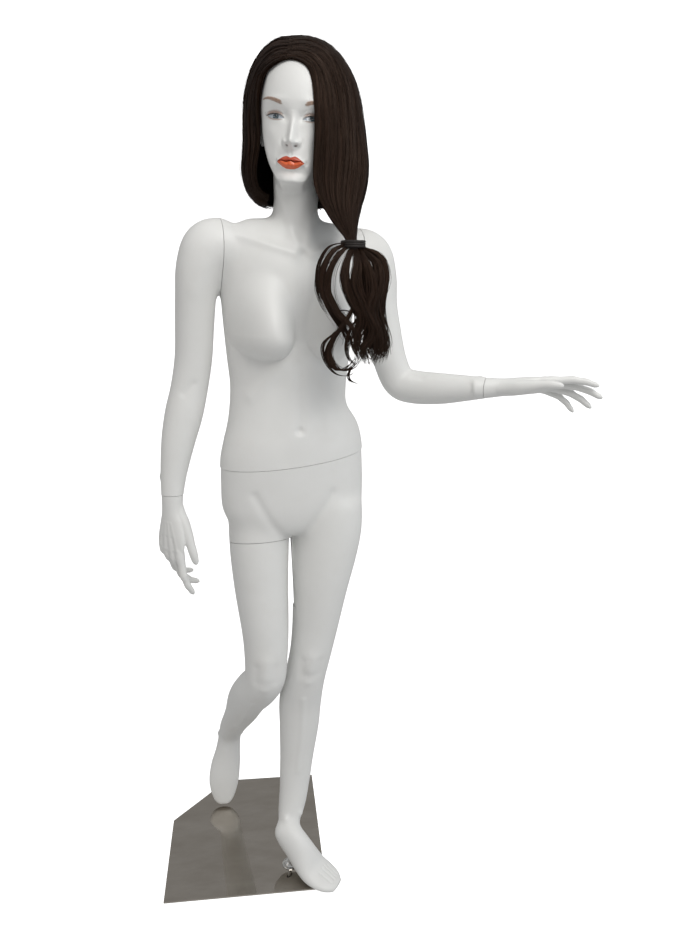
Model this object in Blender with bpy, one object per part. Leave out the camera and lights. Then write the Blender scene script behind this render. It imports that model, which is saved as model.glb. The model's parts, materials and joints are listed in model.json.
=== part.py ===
"""Full body display mannequin: shells, fittings, base with foot rod, and wig.

Metres, +Z up. X runs along the front edge of the base plate, the figure faces about -Y,
and the origin is the middle of the base's underside.
"""
import math

import bmesh
import bpy
import numpy as np
from mathutils import Matrix, Vector

# ---------------------------------------------------------------- driving dimensions
PLATE_SIDE = 0.380
PLATE_THICK = 0.004
PAD_THICK = 0.002
PLATE_CORNER_CUT = 0.135
ROD_AT = (0.108, -0.113)
ROD_RADIUS = 0.0047
ROD_TOP = 0.098
SOCKET_BOTTOM = 0.052
SOCKET_TOP = 0.104
CLEAR = 0.0003
HALF_SEAM = 0.0002
WALL = 0.007
MOUTH_DEPTH = 0.032
BOARD_RECESS = 0.006
BOARD_THICK = 0.009
CHEST_YAW = math.radians(12.0)
HEAD_YAW = math.radians(-12.0)

WAIST_AT = Vector((0.102, 0.015, 1.026))
WAIST_UP = Vector((-0.112, 0.0, 1.0)).normalized()
THIGH_AT = Vector((0.027, 0.000, 0.833))
THIGH_UP = Vector((-0.070, 0.260, 1.0)).normalized()
R_SHOULDER_AT = Vector((-0.056, 0.004, 1.452))
R_SHOULDER_OUT = Vector((-math.cos(CHEST_YAW), -math.sin(CHEST_YAW), 0.0))
L_SHOULDER_AT = Vector((0.232, 0.062, 1.446))
L_SHOULDER_OUT = Vector((math.cos(CHEST_YAW), math.sin(CHEST_YAW), 0.0))
R_WRIST_AT = Vector((-0.160, -0.022, 0.948))
R_WRIST_OUT = Vector((0.02, -0.10, -1.0)).normalized()
L_WRIST_AT = Vector((0.509, -0.058, 1.200))
L_WRIST_OUT = Vector((0.86, -0.50, 0.02)).normalized()

CRANIUM_AT = Vector((0.096, 0.008, 1.722))
CRANIUM_SIZE = (0.074, 0.094, 0.098)
TIE_AT = Vector((0.196, -0.129, 1.479))
TIE_RADIUS = 0.0205
TIE_CORD = 0.0045

# Openings that the fitting boards close: half width and half depth.
WAIST_MOUTH = (0.135, 0.072)
THIGH_MOUTH = (0.050, 0.052)
SHOULDER_MOUTH = (0.036, 0.036)
WRIST_MOUTH = (0.0155, 0.0155)
WRIST_MOUTH_DEPTH = 0.014
WRIST_SECTION = (0.024, 0.022, 0.022)
KEY_THICK = 0.002
KEY_PLAY = 0.0012

# Directions that the lofts and fittings take as their side, front or up.
X_SIDE = Vector((1.0, 0.0, 0.0))
Y_SIDE = Vector((0.0, 1.0, 0.0))
UP = Vector((0.0, 0.0, 1.0))
OFF_AXIS = Vector((1.0, 0.013, 0.007))
TO_FRONT = Vector((0.0, -1.0, 0.0))
CHEST_SIDE = Vector((math.cos(CHEST_YAW), math.sin(CHEST_YAW), 0.0))
HEAD_SIDE = Vector((math.cos(HEAD_YAW), math.sin(HEAD_YAW), 0.0))
HEAD_FRONT = Vector((math.sin(HEAD_YAW), -math.cos(HEAD_YAW), 0.0))
LEFT_FOOT_SIDE = Vector((0.64, 0.77, 0.0))
RIGHT_ARM_FACING = Vector((1.0, 0.0, -1.0))
LEFT_ARM_FACING = Vector((1.0, 0.0, 1.0))

# Stations: x, y, z of the middle, half width, half depth to the front and to the back.
TORSO = [
    (0.106, 0.010, 0.860, 0.120, 0.070, 0.080),
    (0.105, 0.012, 0.900, 0.160, 0.086, 0.105),
    (0.105, 0.014, 0.950, 0.165, 0.092, 0.108),
    (0.102, 0.015, 1.020, 0.163, 0.096, 0.092),
    (0.103, 0.016, 1.065, 0.157, 0.096, 0.078),
    (0.101, 0.018, 1.105, 0.146, 0.092, 0.068),
    (0.091, 0.020, 1.145, 0.131, 0.088, 0.064),
    (0.090, 0.024, 1.190, 0.129, 0.088, 0.068),
    (0.089, 0.027, 1.250, 0.135, 0.092, 0.080),
    (0.087, 0.031, 1.330, 0.141, 0.096, 0.092),
    (0.088, 0.033, 1.400, 0.148, 0.094, 0.092),
    (0.089, 0.033, 1.450, 0.154, 0.084, 0.080),
    (0.091, 0.030, 1.492, 0.146, 0.062, 0.060),
    (0.094, 0.027, 1.524, 0.100, 0.040, 0.044),
]
NECK = [
    (0.094, 0.034, 1.470, 0.068, 0.060, 0.055),
    (0.096, 0.026, 1.510, 0.052, 0.053, 0.050),
    (0.096, 0.016, 1.550, 0.045, 0.048, 0.050),
    (0.095, 0.008, 1.600, 0.045, 0.050, 0.056),
    (0.095, 0.004, 1.650, 0.046, 0.050, 0.060),
]
JAW = [
    (0.082, -0.058, 1.588, 0.018, 0.026, 0.030),
    (0.085, -0.046, 1.606, 0.038, 0.044, 0.040),
    (0.088, -0.036, 1.632, 0.053, 0.054, 0.050),
    (0.091, -0.026, 1.668, 0.063, 0.061, 0.060),
    (0.093, -0.014, 1.710, 0.068, 0.070, 0.070),
    (0.094, -0.006, 1.755, 0.066, 0.070, 0.080),
]
LEFT_LEG = [
    (0.186, 0.018, 0.930, 0.078, 0.078, 0.085),
    (0.185, 0.012, 0.860, 0.082, 0.080, 0.086),
    (0.179, 0.004, 0.790, 0.076, 0.078, 0.080),
    (0.171, -0.004, 0.720, 0.067, 0.072, 0.070),
    (0.162, -0.010, 0.620, 0.056, 0.062, 0.058),
    (0.152, -0.016, 0.545, 0.050, 0.056, 0.048),
    (0.141, -0.016, 0.480, 0.049, 0.050, 0.046),
    (0.132, -0.008, 0.410, 0.052, 0.048, 0.056),
    (0.130, -0.014, 0.340, 0.049, 0.042, 0.052),
    (0.125, -0.026, 0.260, 0.042, 0.036, 0.042),
    (0.120, -0.040, 0.195, 0.038, 0.034, 0.034),
    (0.114, -0.056, 0.145, 0.036, 0.036, 0.032),
    (0.104, -0.074, 0.108, 0.031, 0.034, 0.030),
]
LEFT_FOOT = [
    (0.076, -0.084, 0.104, 0.016, 0.020, 0.016),
    (0.086, -0.092, 0.100, 0.029, 0.030, 0.022),
    (0.104, -0.106, 0.088, 0.031, 0.040, 0.035),
    (0.124, -0.124, 0.069, 0.032, 0.040, 0.034),
    (0.144, -0.142, 0.047, 0.037, 0.032, 0.030),
    (0.162, -0.158, 0.032, 0.041, 0.022, 0.022),
    (0.182, -0.174, 0.026, 0.041, 0.015, 0.016),
    (0.202, -0.190, 0.022, 0.034, 0.011, 0.011),
    (0.216, -0.201, 0.019, 0.020, 0.007, 0.007),
]
RIGHT_LEG = [
    (0.034, 0.012, 0.930, 0.072, 0.076, 0.085),
    (0.030, 0.006, 0.870, 0.072, 0.078, 0.084),
    (0.029, -0.004, 0.810, 0.069, 0.078, 0.078),
    (0.034, -0.018, 0.720, 0.063, 0.072, 0.068),
    (0.043, -0.036, 0.620, 0.055, 0.062, 0.056),
    (0.045, -0.048, 0.550, 0.050, 0.055, 0.048),
    (0.042, -0.048, 0.500, 0.049, 0.050, 0.045),
    (0.022, -0.010, 0.440, 0.053, 0.045, 0.052),
    (0.003, 0.038, 0.380, 0.050, 0.040, 0.054),
    (-0.012, 0.086, 0.310, 0.043, 0.035, 0.044),
    (-0.028, 0.132, 0.250, 0.037, 0.032, 0.034),
    (-0.040, 0.170, 0.200, 0.034, 0.032, 0.032),
    (-0.045, 0.188, 0.168, 0.031, 0.030, 0.028),
]
RIGHT_FOOT = [
    (-0.044, 0.222, 0.176, 0.018, 0.018, 0.014),
    (-0.045, 0.212, 0.172, 0.029, 0.027, 0.018),
    (-0.046, 0.192, 0.160, 0.032, 0.034, 0.024),
    (-0.050, 0.166, 0.132, 0.035, 0.030, 0.024),
    (-0.056, 0.142, 0.102, 0.040, 0.023, 0.020),
    (-0.060, 0.122, 0.074, 0.041, 0.017, 0.016),
    (-0.061, 0.108, 0.048, 0.036, 0.012, 0.012),
    (-0.061, 0.098, 0.024, 0.026, 0.009, 0.009),
    (-0.061, 0.092, 0.014, 0.014, 0.006, 0.006),
]
RIGHT_ARM = [
    (-0.030, 0.010, 1.468, 0.052, 0.052, 0.052),
    (-0.072, 0.004, 1.462, 0.056, 0.056, 0.055),
    (-0.094, 0.002, 1.424, 0.049, 0.052, 0.052),
    (-0.104, 0.004, 1.370, 0.042, 0.047, 0.048),
    (-0.108, 0.008, 1.310, 0.040, 0.043, 0.044),
    (-0.112, 0.012, 1.240, 0.039, 0.039, 0.040),
    (-0.122, 0.012, 1.175, 0.039, 0.036, 0.038),
    (-0.134, 0.006, 1.120, 0.040, 0.037, 0.037),
    (-0.146, -0.002, 1.065, 0.036, 0.034, 0.034),
    (-0.156, -0.012, 1.000, 0.029, 0.028, 0.028),
    (-0.160, -0.022, 0.948, 0.024, 0.022, 0.022),
    (-0.160, -0.026, 0.905, 0.0235, 0.018, 0.018),
]
LEFT_ARM = [
    (0.205, 0.058, 1.464, 0.052, 0.052, 0.052),
    (0.252, 0.064, 1.458, 0.058, 0.056, 0.055),
    (0.276, 0.066, 1.420, 0.048, 0.052, 0.052),
    (0.287, 0.066, 1.360, 0.042, 0.047, 0.047),
    (0.302, 0.066, 1.300, 0.040, 0.043, 0.043),
    (0.322, 0.066, 1.235, 0.038, 0.039, 0.040),
    (0.346, 0.062, 1.190, 0.038, 0.038, 0.040),
    (0.378, 0.040, 1.182, 0.038, 0.037, 0.040),
    (0.425, 0.004, 1.186, 0.035, 0.036, 0.036),
    (0.470, -0.032, 1.194, 0.029, 0.030, 0.029),
    (0.509, -0.058, 1.200, 0.023, 0.0245, 0.0245),
    (0.548, -0.078, 1.202, 0.018, 0.0235, 0.0235),
]
# Finger: reach and sideways place of the knuckle, splay, curls of the three bones in
# degrees, bone lengths and knuckle radius.
FINGERS = [
    (0.136, 0.027, 8.0, (0.042, 0.027, 0.023), 0.0092),
    (0.141, 0.009, 2.0, (0.047, 0.031, 0.025), 0.0094),
    (0.137, -0.009, -4.0, (0.043, 0.029, 0.024), 0.0090),
    (0.129, -0.026, -11.0, (0.034, 0.022, 0.021), 0.0080),
]

BODY_WHITE = (0.80, 0.80, 0.78)
STEEL = (0.55, 0.55, 0.54)


# ---------------------------------------------------------------- small tools
def clear_scene():
    for obj in list(bpy.data.objects):
        bpy.data.objects.remove(obj, do_unlink=True)


def material(name, colour, roughness, metallic):
    mat = bpy.data.materials.get(name)
    if mat is None:
        mat = bpy.data.materials.new(name)
        mat.use_nodes = True
        shader = mat.node_tree.nodes["Principled BSDF"]
        shader.inputs["Base Color"].default_value = (*colour, 1.0)
        shader.inputs["Roughness"].default_value = roughness
        shader.inputs["Metallic"].default_value = metallic
    return mat


def paint():
    return material("body_paint", BODY_WHITE, 0.45, 0.0)


def steel():
    return material("fitting_steel", STEEL, 0.35, 1.0)


def board_wood():
    return material("board_wood", (0.45, 0.30, 0.17), 0.7, 0.0)


def chrome():
    return material("chrome", (0.7, 0.7, 0.7), 0.12, 1.0)


def hair_fibre():
    return material("hair_fibre", (0.03, 0.018, 0.013), 0.4, 0.0)


def new_object(name, mesh, mat=None):
    obj = bpy.data.objects.new(name, mesh)
    bpy.context.scene.collection.objects.link(obj)
    if mat is not None:
        mesh.materials.clear()
        mesh.materials.append(mat)
    return obj


def mesh_from(bm, name):
    bmesh.ops.recalc_face_normals(bm, faces=bm.faces[:])
    mesh = bpy.data.meshes.new(name)
    bm.to_mesh(mesh)
    bm.free()
    return mesh


def baked(obj):
    """Apply the object's modifiers and leave it with the plain resulting mesh."""
    graph = bpy.context.evaluated_depsgraph_get()
    graph.update()
    mesh = bpy.data.meshes.new_from_object(obj.evaluated_get(graph))
    old = obj.data
    obj.modifiers.clear()
    obj.data = mesh
    bpy.data.meshes.remove(old)
    return obj


def frame_of(normal, side, facing=TO_FRONT):
    """Side, front and normal directions. The front is on the facing direction's side."""
    axis = normal.normalized()
    across = (side - axis * side.dot(axis)).normalized()
    front = axis.cross(across)
    if front.dot(facing) < 0:
        front = -front
    return across, front, axis


# ---------------------------------------------------------------- lofts and unions
def spline(points, count):
    """Catmull-Rom curve through the rows of points, resampled to count rows."""
    rows = np.array(points, float)
    rows = np.vstack([2 * rows[0] - rows[1], rows, 2 * rows[-1] - rows[-2]])
    spans = len(rows) - 3
    out = []
    for place in np.linspace(0.0, spans, count):
        span = min(int(place), spans - 1)
        t = place - span
        a, b, c, d = rows[span:span + 4]
        out.append(0.5 * (2 * b + (c - a) * t + (2 * a - 5 * b + 4 * c - d) * t ** 2
                          + (3 * b - a - 3 * c + d) * t ** 3))
    return np.array(out)


def ring_points(centre, normal, side, widths, sides, squareness=2.0, facing=TO_FRONT):
    across, front, _ = frame_of(normal, side, facing)
    half_width, half_front, half_back = widths
    points = []
    for i in range(sides):
        angle = 2 * math.pi * i / sides
        c, s = math.cos(angle), math.sin(angle)
        u = math.copysign(abs(c) ** (2.0 / squareness), c) * half_width
        depth = half_front if s > 0 else half_back
        v = math.copysign(abs(s) ** (2.0 / squareness), s) * depth
        points.append(centre + across * u + front * v)
    return points


def skin(bm, rings):
    """Close a tube through the rings, with a flat fan at each end."""
    loops = [[bm.verts.new(p) for p in ring] for ring in rings]
    for low, high in zip(loops, loops[1:]):
        for i in range(len(low)):
            j = (i + 1) % len(low)
            bm.faces.new((low[i], low[j], high[j], high[i]))
    bm.faces.new(loops[0][::-1])
    bm.faces.new(loops[-1])


def limb(bm, stations, side, inset=0.0, sides=24, count=None, facing=TO_FRONT):
    """Loft along a limb. The ring's front is the tangent crossed with its side."""
    rows = spline(stations, count or 4 * len(stations))
    middles = [Vector(row[:3]) for row in rows]
    rings = []
    for i, row in enumerate(rows):
        ahead = middles[min(i + 1, len(middles) - 1)]
        behind = middles[max(i - 1, 0)]
        widths = [max(value - inset, 0.003) for value in row[3:6]]
        rings.append(ring_points(middles[i], ahead - behind, side, widths, sides, 2.0, facing))
    skin(bm, rings)


def ellipsoid(bm, centre, size, yaw=0.0, pitch=0.0):
    turn = Matrix.Rotation(yaw, 4, "Z") @ Matrix.Rotation(pitch, 4, "X")
    place = Matrix.Translation(centre) @ turn @ Matrix.Diagonal((*size, 1.0))
    bmesh.ops.create_uvsphere(bm, u_segments=32, v_segments=20, radius=1.0, matrix=place)


def united(name, build, voxel, smooth, triangles, mat):
    """Union of the closed solids that build draws: remeshed, smoothed and thinned."""
    bm = bmesh.new()
    build(bm)
    obj = new_object(name, mesh_from(bm, name), mat)
    remesh = obj.modifiers.new("union", "REMESH")
    remesh.mode = "VOXEL"
    remesh.voxel_size = voxel
    if smooth:
        soften = obj.modifiers.new("soften", "SMOOTH")
        soften.factor = 0.5
        soften.iterations = smooth
    baked(obj)
    thin(obj, triangles)
    obj.data.materials.clear()
    obj.data.materials.append(mat)
    return obj


def thin(obj, triangles):
    obj.data.calc_loop_triangles()
    have = len(obj.data.loop_triangles)
    if have > triangles:
        fewer = obj.modifiers.new("thin", "DECIMATE")
        fewer.ratio = triangles / have
        baked(obj)


def cut(obj, build, operation="DIFFERENCE"):
    """Boolean of the object with the closed solid that build draws."""
    bm = bmesh.new()
    build(bm)
    tool = new_object("cutter", mesh_from(bm, "cutter"))
    boolean = obj.modifiers.new("cut", "BOOLEAN")
    boolean.operation = operation
    boolean.solver = "EXACT"
    boolean.object = tool
    baked(obj)
    bpy.data.objects.remove(tool, do_unlink=True)


def slab(bm, centre, normal, side, size):
    """Box of the given width, depth and height that stands on centre along normal."""
    across, front, axis = frame_of(normal, side)
    middle = centre + axis * (size[2] / 2)
    turn = Matrix((across, axis.cross(across), axis)).transposed().to_4x4()
    place = Matrix.Translation(middle) @ turn @ Matrix.Diagonal((*size, 1.0))
    bmesh.ops.create_cube(bm, size=1.0, matrix=place)


def prism(bm, centre, normal, side, half, height, sides=24):
    """Elliptical cylinder that stands on centre along normal."""
    axis = normal.normalized()
    widths = (half[0], half[1], half[1])
    low = ring_points(centre, axis, side, widths, sides)
    high = ring_points(centre + axis * height, axis, side, widths, sides)
    skin(bm, [low, high])


def turned(name, centre, normal, profile, mat, sides=18):
    """Solid of revolution: profile lists radius and height, closed on the axis."""
    across, _, axis = frame_of(normal, OFF_AXIS)
    bm = bmesh.new()
    rings = []
    for radius, height in profile:
        widths = (radius, radius, radius)
        rings.append(ring_points(centre + axis * height, axis, across, widths, sides))
    skin(bm, rings)
    return new_object(name, mesh_from(bm, name), mat)


def tube(name, centre, normal, outer, inner, height, mat, sides=18):
    """Straight tube made by lofting round the outside and back through the bore."""
    across, _, axis = frame_of(normal, OFF_AXIS)
    bm = bmesh.new()
    loops = []
    for radius, level in ((outer, 0.0), (outer, height), (inner, height), (inner, 0.0)):
        widths = (radius, radius, radius)
        ring = ring_points(centre + axis * level, axis, across, widths, sides)
        loops.append([bm.verts.new(p) for p in ring])
    for k, low in enumerate(loops):
        high = loops[(k + 1) % len(loops)]
        for i in range(sides):
            j = (i + 1) % sides
            bm.faces.new((low[i], low[j], high[j], high[i]))
    return new_object(name, mesh_from(bm, name), mat)


# ---------------------------------------------------------------- body shapes
def arm_stations(stations):
    """Arms are lofted with Y as their side, so their width and depths swap."""
    return [(x, y, z, (front + back) / 2, width, width)
            for x, y, z, width, front, back in stations]


def draw_torso(bm, inset=0.0):
    limb(bm, TORSO, CHEST_SIDE, inset, sides=32)


def draw_bust(bm):
    for x, y in ((0.034, -0.076), (0.178, -0.046)):
        ellipsoid(bm, (x, y, 1.306), (0.055, 0.056, 0.056), CHEST_YAW)
        ellipsoid(bm, (x, y + 0.024, 1.345), (0.050, 0.045, 0.062), CHEST_YAW, 0.5)


def draw_seat(bm):
    ellipsoid(bm, (0.056, 0.078, 0.925), (0.074, 0.056, 0.074))
    ellipsoid(bm, (0.152, 0.084, 0.930), (0.074, 0.056, 0.074))


def draw_head(bm):
    limb(bm, NECK, CHEST_SIDE)
    limb(bm, JAW, HEAD_SIDE)
    ellipsoid(bm, CRANIUM_AT, CRANIUM_SIZE, HEAD_YAW)
    nose = [
        (0.0785, -0.082, 1.702, 0.008, 0.010, 0.010),
        (0.0765, -0.090, 1.680, 0.008, 0.012, 0.012),
        (0.0752, -0.098, 1.662, 0.010, 0.012, 0.014),
        (0.0748, -0.100, 1.653, 0.013, 0.010, 0.014),
        (0.0755, -0.092, 1.646, 0.009, 0.006, 0.010),
    ]
    limb(bm, nose, HEAD_SIDE, sides=12)
    ellipsoid(bm, (0.0765, -0.083, 1.627), (0.021, 0.014, 0.011), HEAD_YAW)
    ellipsoid(bm, (0.0790, -0.072, 1.596), (0.016, 0.014, 0.012), HEAD_YAW)
    for sign in (-1.0, 1.0):
        ear = CRANIUM_AT + HEAD_SIDE * (0.064 * sign) + Vector((0.004 * sign, 0.004, -0.038))
        ellipsoid(bm, ear, (0.008, 0.016, 0.028), HEAD_YAW)


def draw_upper(bm):
    draw_torso(bm)
    draw_bust(bm)
    draw_head(bm)
    limb(bm, arm_stations(RIGHT_ARM[:5]), Y_SIDE, facing=RIGHT_ARM_FACING)
    limb(bm, arm_stations(LEFT_ARM[:5]), Y_SIDE, facing=LEFT_ARM_FACING)


def draw_pelvis(bm):
    draw_torso(bm)
    draw_seat(bm)


def draw_left_foot(bm):
    limb(bm, LEFT_FOOT, LEFT_FOOT_SIDE, sides=20)


def draw_lower(bm):
    draw_pelvis(bm)
    limb(bm, LEFT_LEG, X_SIDE)
    draw_left_foot(bm)
    limb(bm, RIGHT_LEG[:4], X_SIDE)


def draw_right_leg(bm):
    draw_pelvis(bm)
    limb(bm, RIGHT_LEG, X_SIDE)
    limb(bm, RIGHT_FOOT, X_SIDE, sides=20)


def hand_frame(along, thumb):
    axis = along.normalized()
    side = (thumb - axis * thumb.dot(axis)).normalized()
    return axis, side


class Hand:
    """A hand that starts at its wrist seam. Reach runs to the fingers, side to the thumb."""

    def __init__(self, origin, along, thumb, back, curls, spread):
        self.origin = origin
        self.along, self.thumb = hand_frame(along, thumb)
        normal = self.along.cross(self.thumb)
        self.back = normal if normal.dot(back) > 0 else -normal
        self.curls = curls
        self.spread = spread

    def at(self, reach, side, height):
        return self.origin + self.along * reach + self.thumb * side + self.back * height

    def row(self, reach, side, height, width, over, under):
        return (*self.at(reach, side, height), width, over, under)

    def draw_palm(self, bm, wrist):
        rows = [
            self.row(-0.030, 0.000, 0.000, *wrist),
            self.row(0.000, 0.000, 0.000, *wrist),
            self.row(0.036, 0.000, 0.000, 0.024, 0.0175, 0.0175),
            self.row(0.062, 0.001, 0.000, 0.031, 0.015, 0.016),
            self.row(0.092, 0.001, 0.001, 0.038, 0.013, 0.014),
            self.row(0.120, 0.000, 0.001, 0.0385, 0.011, 0.012),
            self.row(0.140, 0.000, 0.000, 0.036, 0.008, 0.008),
        ]
        limb(bm, rows, self.thumb, sides=20, facing=self.back)

    def draw_finger(self, bm, number):
        reach, side, splay, bones, radius = FINGERS[number]
        aim = math.radians(splay * self.spread)
        heading = self.along * math.cos(aim) + self.thumb * math.sin(aim)
        place = self.at(reach - 0.012, side, 0.0)
        rows = [(*place, radius, radius, radius)]
        bend = 0.0
        thickness = radius
        for bone, curl in zip((bones[0] + 0.012, bones[1], bones[2]), self.curls[number]):
            bend += math.radians(curl)
            step = heading * math.cos(bend) - self.back * math.sin(bend)
            thickness *= 0.86
            rows.append((*(place + step * bone * 0.55), thickness * 1.05, thickness, thickness))
            place = place + step * bone
            rows.append((*place, thickness, thickness, thickness))
        rows.append((*(place + step * 0.004), 0.003, 0.003, 0.003))
        limb(bm, rows, self.thumb, sides=12, count=16, facing=self.back)

    def draw_thumb(self, bm):
        rows = [
            self.row(0.052, 0.016, -0.004, 0.013, 0.012, 0.014),
            self.row(0.080, 0.036, -0.010, 0.0125, 0.0115, 0.013),
            self.row(0.106, 0.050, -0.014, 0.0098, 0.0095, 0.0098),
            self.row(0.128, 0.058, -0.017, 0.0098, 0.0085, 0.0090),
            self.row(0.146, 0.062, -0.022, 0.0080, 0.0065, 0.0070),
            self.row(0.151, 0.063, -0.024, 0.0035, 0.0030, 0.0030),
        ]
        limb(bm, rows, self.thumb, sides=12, count=16, facing=self.back)

    def draw(self, bm, wrist):
        self.draw_palm(bm, wrist)
        for number in range(len(FINGERS)):
            self.draw_finger(bm, number)
        self.draw_thumb(bm)


RIGHT_HAND = Hand(R_WRIST_AT, Vector((-0.02, -0.10, -1.0)), Vector((0.60, -0.80, 0.05)),
                  Vector((-0.8, -0.6, 0.0)),
                  ((12, 26, 16), (20, 30, 18), (26, 32, 20), (30, 34, 22)), 1.0)
LEFT_HAND = Hand(L_WRIST_AT, Vector((0.97, -0.20, 0.10)), Vector((-0.1, -1.0, 0.10)),
                 Vector((0.0, 0.1, 1.0)),
                 ((2, 12, 10), (14, 14, 10), (20, 16, 12), (24, 18, 12)), 1.2)


# ---------------------------------------------------------------- shells
EVERYTHING = (2.0, 2.0, 2.0)
WRIST_CUT = (0.2, 0.2, 0.3)
BOARD_WALL = WALL + 0.006
TRUNK_WALL = WALL + 0.004
LEG_WALL = WALL + 0.001
HEAD_CAVITY = [
    (0.095, 0.026, 1.40, 0.040, 0.040, 0.040),
    (0.096, 0.016, 1.55, 0.036, 0.036, 0.038),
    (0.094, 0.004, 1.63, 0.038, 0.042, 0.050),
    (0.095, 0.000, 1.70, 0.056, 0.068, 0.074),
    (0.096, 0.006, 1.76, 0.052, 0.062, 0.072),
    (0.096, 0.008, 1.80, 0.026, 0.030, 0.040),
]


def right_thigh_cutter(bm):
    """Everything under the thigh seam on the right leg's side of the crotch."""
    across, _, _ = frame_of(-THIGH_UP, X_SIDE)
    width, depth, height = 0.30, 0.40, 0.17
    inner_side = 0.0730
    corner = THIGH_AT + THIGH_UP * HALF_SEAM + across * (inner_side - width / 2)
    slab(bm, corner, -THIGH_UP, X_SIDE, (width, depth, height))


def above(point, up):
    """Everything above a seam."""
    return lambda bm: slab(bm, point - up * HALF_SEAM, up, X_SIDE, EVERYTHING)


def below(point, up):
    """Everything below a seam."""
    return lambda bm: slab(bm, point + up * HALF_SEAM, -up, X_SIDE, EVERYTHING)


def shoulder_cutter(at, out):
    """The arm outside a shoulder seam."""
    drop = UP * -0.020
    size = (0.36, 0.30, 0.30)
    return lambda bm: slab(bm, at - out * HALF_SEAM + drop, out, Y_SIDE, size)


def make_lower_shell():
    shell = united("lower_body_shell", draw_lower, 0.006, 6, 1900, paint())
    cut(shell, above(WAIST_AT, WAIST_UP))
    cut(shell, right_thigh_cutter)
    cut(shell, lambda bm: limb(bm, TORSO[:4], CHEST_SIDE, BOARD_WALL, sides=20, count=6))
    cut(shell, lambda bm: limb(bm, LEFT_LEG[:-2], X_SIDE, LEG_WALL, sides=12, count=14))
    cut(shell, lambda bm: mouth(bm, WAIST_AT, -WAIST_UP, CHEST_SIDE, WAIST_MOUTH))
    cut(shell, lambda bm: mouth(bm, THIGH_AT, THIGH_UP, X_SIDE, THIGH_MOUTH))
    cut(shell, socket_bore)
    return shell


def make_upper_shell():
    shell = united("upper_body_shell", draw_upper, 0.0055, 5, 2600, paint())
    cut(shell, below(WAIST_AT, WAIST_UP))
    cut(shell, shoulder_cutter(R_SHOULDER_AT, R_SHOULDER_OUT))
    cut(shell, shoulder_cutter(L_SHOULDER_AT, L_SHOULDER_OUT))
    neck_root = 1.46
    trunk = [row for row in TORSO[3:] if row[2] < neck_root]
    cut(shell, lambda bm: limb(bm, trunk, CHEST_SIDE, TRUNK_WALL, sides=20, count=12))
    cut(shell, lambda bm: limb(bm, HEAD_CAVITY, HEAD_SIDE, sides=16, count=12))
    cut(shell, lambda bm: mouth(bm, WAIST_AT, WAIST_UP, CHEST_SIDE, WAIST_MOUTH))
    cut(shell, lambda bm: mouth(bm, R_SHOULDER_AT, -R_SHOULDER_OUT, Y_SIDE, SHOULDER_MOUTH))
    cut(shell, lambda bm: mouth(bm, L_SHOULDER_AT, -L_SHOULDER_OUT, Y_SIDE, SHOULDER_MOUTH))
    return shell


def make_right_leg():
    shell = united("right_leg_shell", draw_right_leg, 0.006, 6, 1500, paint())
    cut(shell, above(THIGH_AT, THIGH_UP))
    crotch_side = Vector((0.0940, 0.0, 0.95))
    cut(shell, lambda bm: slab(bm, crotch_side, X_SIDE, Y_SIDE, EVERYTHING))
    cut(shell, lambda bm: limb(bm, RIGHT_LEG[2:-2], X_SIDE, LEG_WALL, sides=12, count=12))
    cut(shell, lambda bm: mouth(bm, THIGH_AT, -THIGH_UP, X_SIDE, THIGH_MOUTH))
    return shell


def make_arm(name, stations, facing, shoulder, out, wrist, hand_out, hand):
    def draw(bm):
        limb(bm, TORSO[9:], CHEST_SIDE, sides=32)
        limb(bm, arm_stations(stations), Y_SIDE, facing=facing)
        hand.draw_palm(bm, WRIST_SECTION)
    shell = united(name, draw, 0.005, 4, 850, paint())
    cut(shell, lambda bm: slab(bm, shoulder + out * HALF_SEAM, -out, Y_SIDE, EVERYTHING))
    cut(shell, lambda bm: slab(bm, wrist - hand_out * HALF_SEAM, hand_out, Y_SIDE, WRIST_CUT))
    hollow = arm_stations(stations)[1:-2]
    cut(shell, lambda bm: limb(bm, hollow, Y_SIDE, WALL, sides=12, count=14, facing=facing))
    cut(shell, lambda bm: mouth(bm, shoulder, out, Y_SIDE, SHOULDER_MOUTH))
    cut(shell, lambda bm: mouth(bm, wrist, -hand_out, Y_SIDE, WRIST_MOUTH))
    return shell


def make_hand(name, hand, at, out):
    shell = united(name, lambda bm: hand.draw(bm, WRIST_SECTION), 0.0026, 2, 950, paint())
    cut(shell, lambda bm: slab(bm, at + out * HALF_SEAM, -out, Y_SIDE, WRIST_CUT))
    cut(shell, lambda bm: mouth(bm, at, out, Y_SIDE, WRIST_MOUTH, WRIST_MOUTH_DEPTH))
    return shell


# ---------------------------------------------------------------- fittings
def mouth(bm, at, inward, side, half, depth=MOUTH_DEPTH):
    """Straight-sided opening that a fitting board sits in."""
    overlap = 0.004
    prism(bm, at - inward * overlap, inward, side, half, depth + overlap)


def board(name, at, inward, side, half, hole_radius, mat, thickness=BOARD_THICK):
    """Plate that closes a mouth, a little below the seam, with a hole in its middle."""
    inset = 0.0005
    bm = bmesh.new()
    size = (half[0] - inset, half[1] - inset)
    prism(bm, at + inward * BOARD_RECESS, inward, side, size, thickness)
    plate = new_object(name, mesh_from(bm, name), mat)
    drop = 0.002
    cut(plate, lambda tool: prism(tool, at + inward * (BOARD_RECESS - drop), inward, side,
                                  (hole_radius, hole_radius), thickness + 2 * drop, 16))
    return plate


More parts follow.
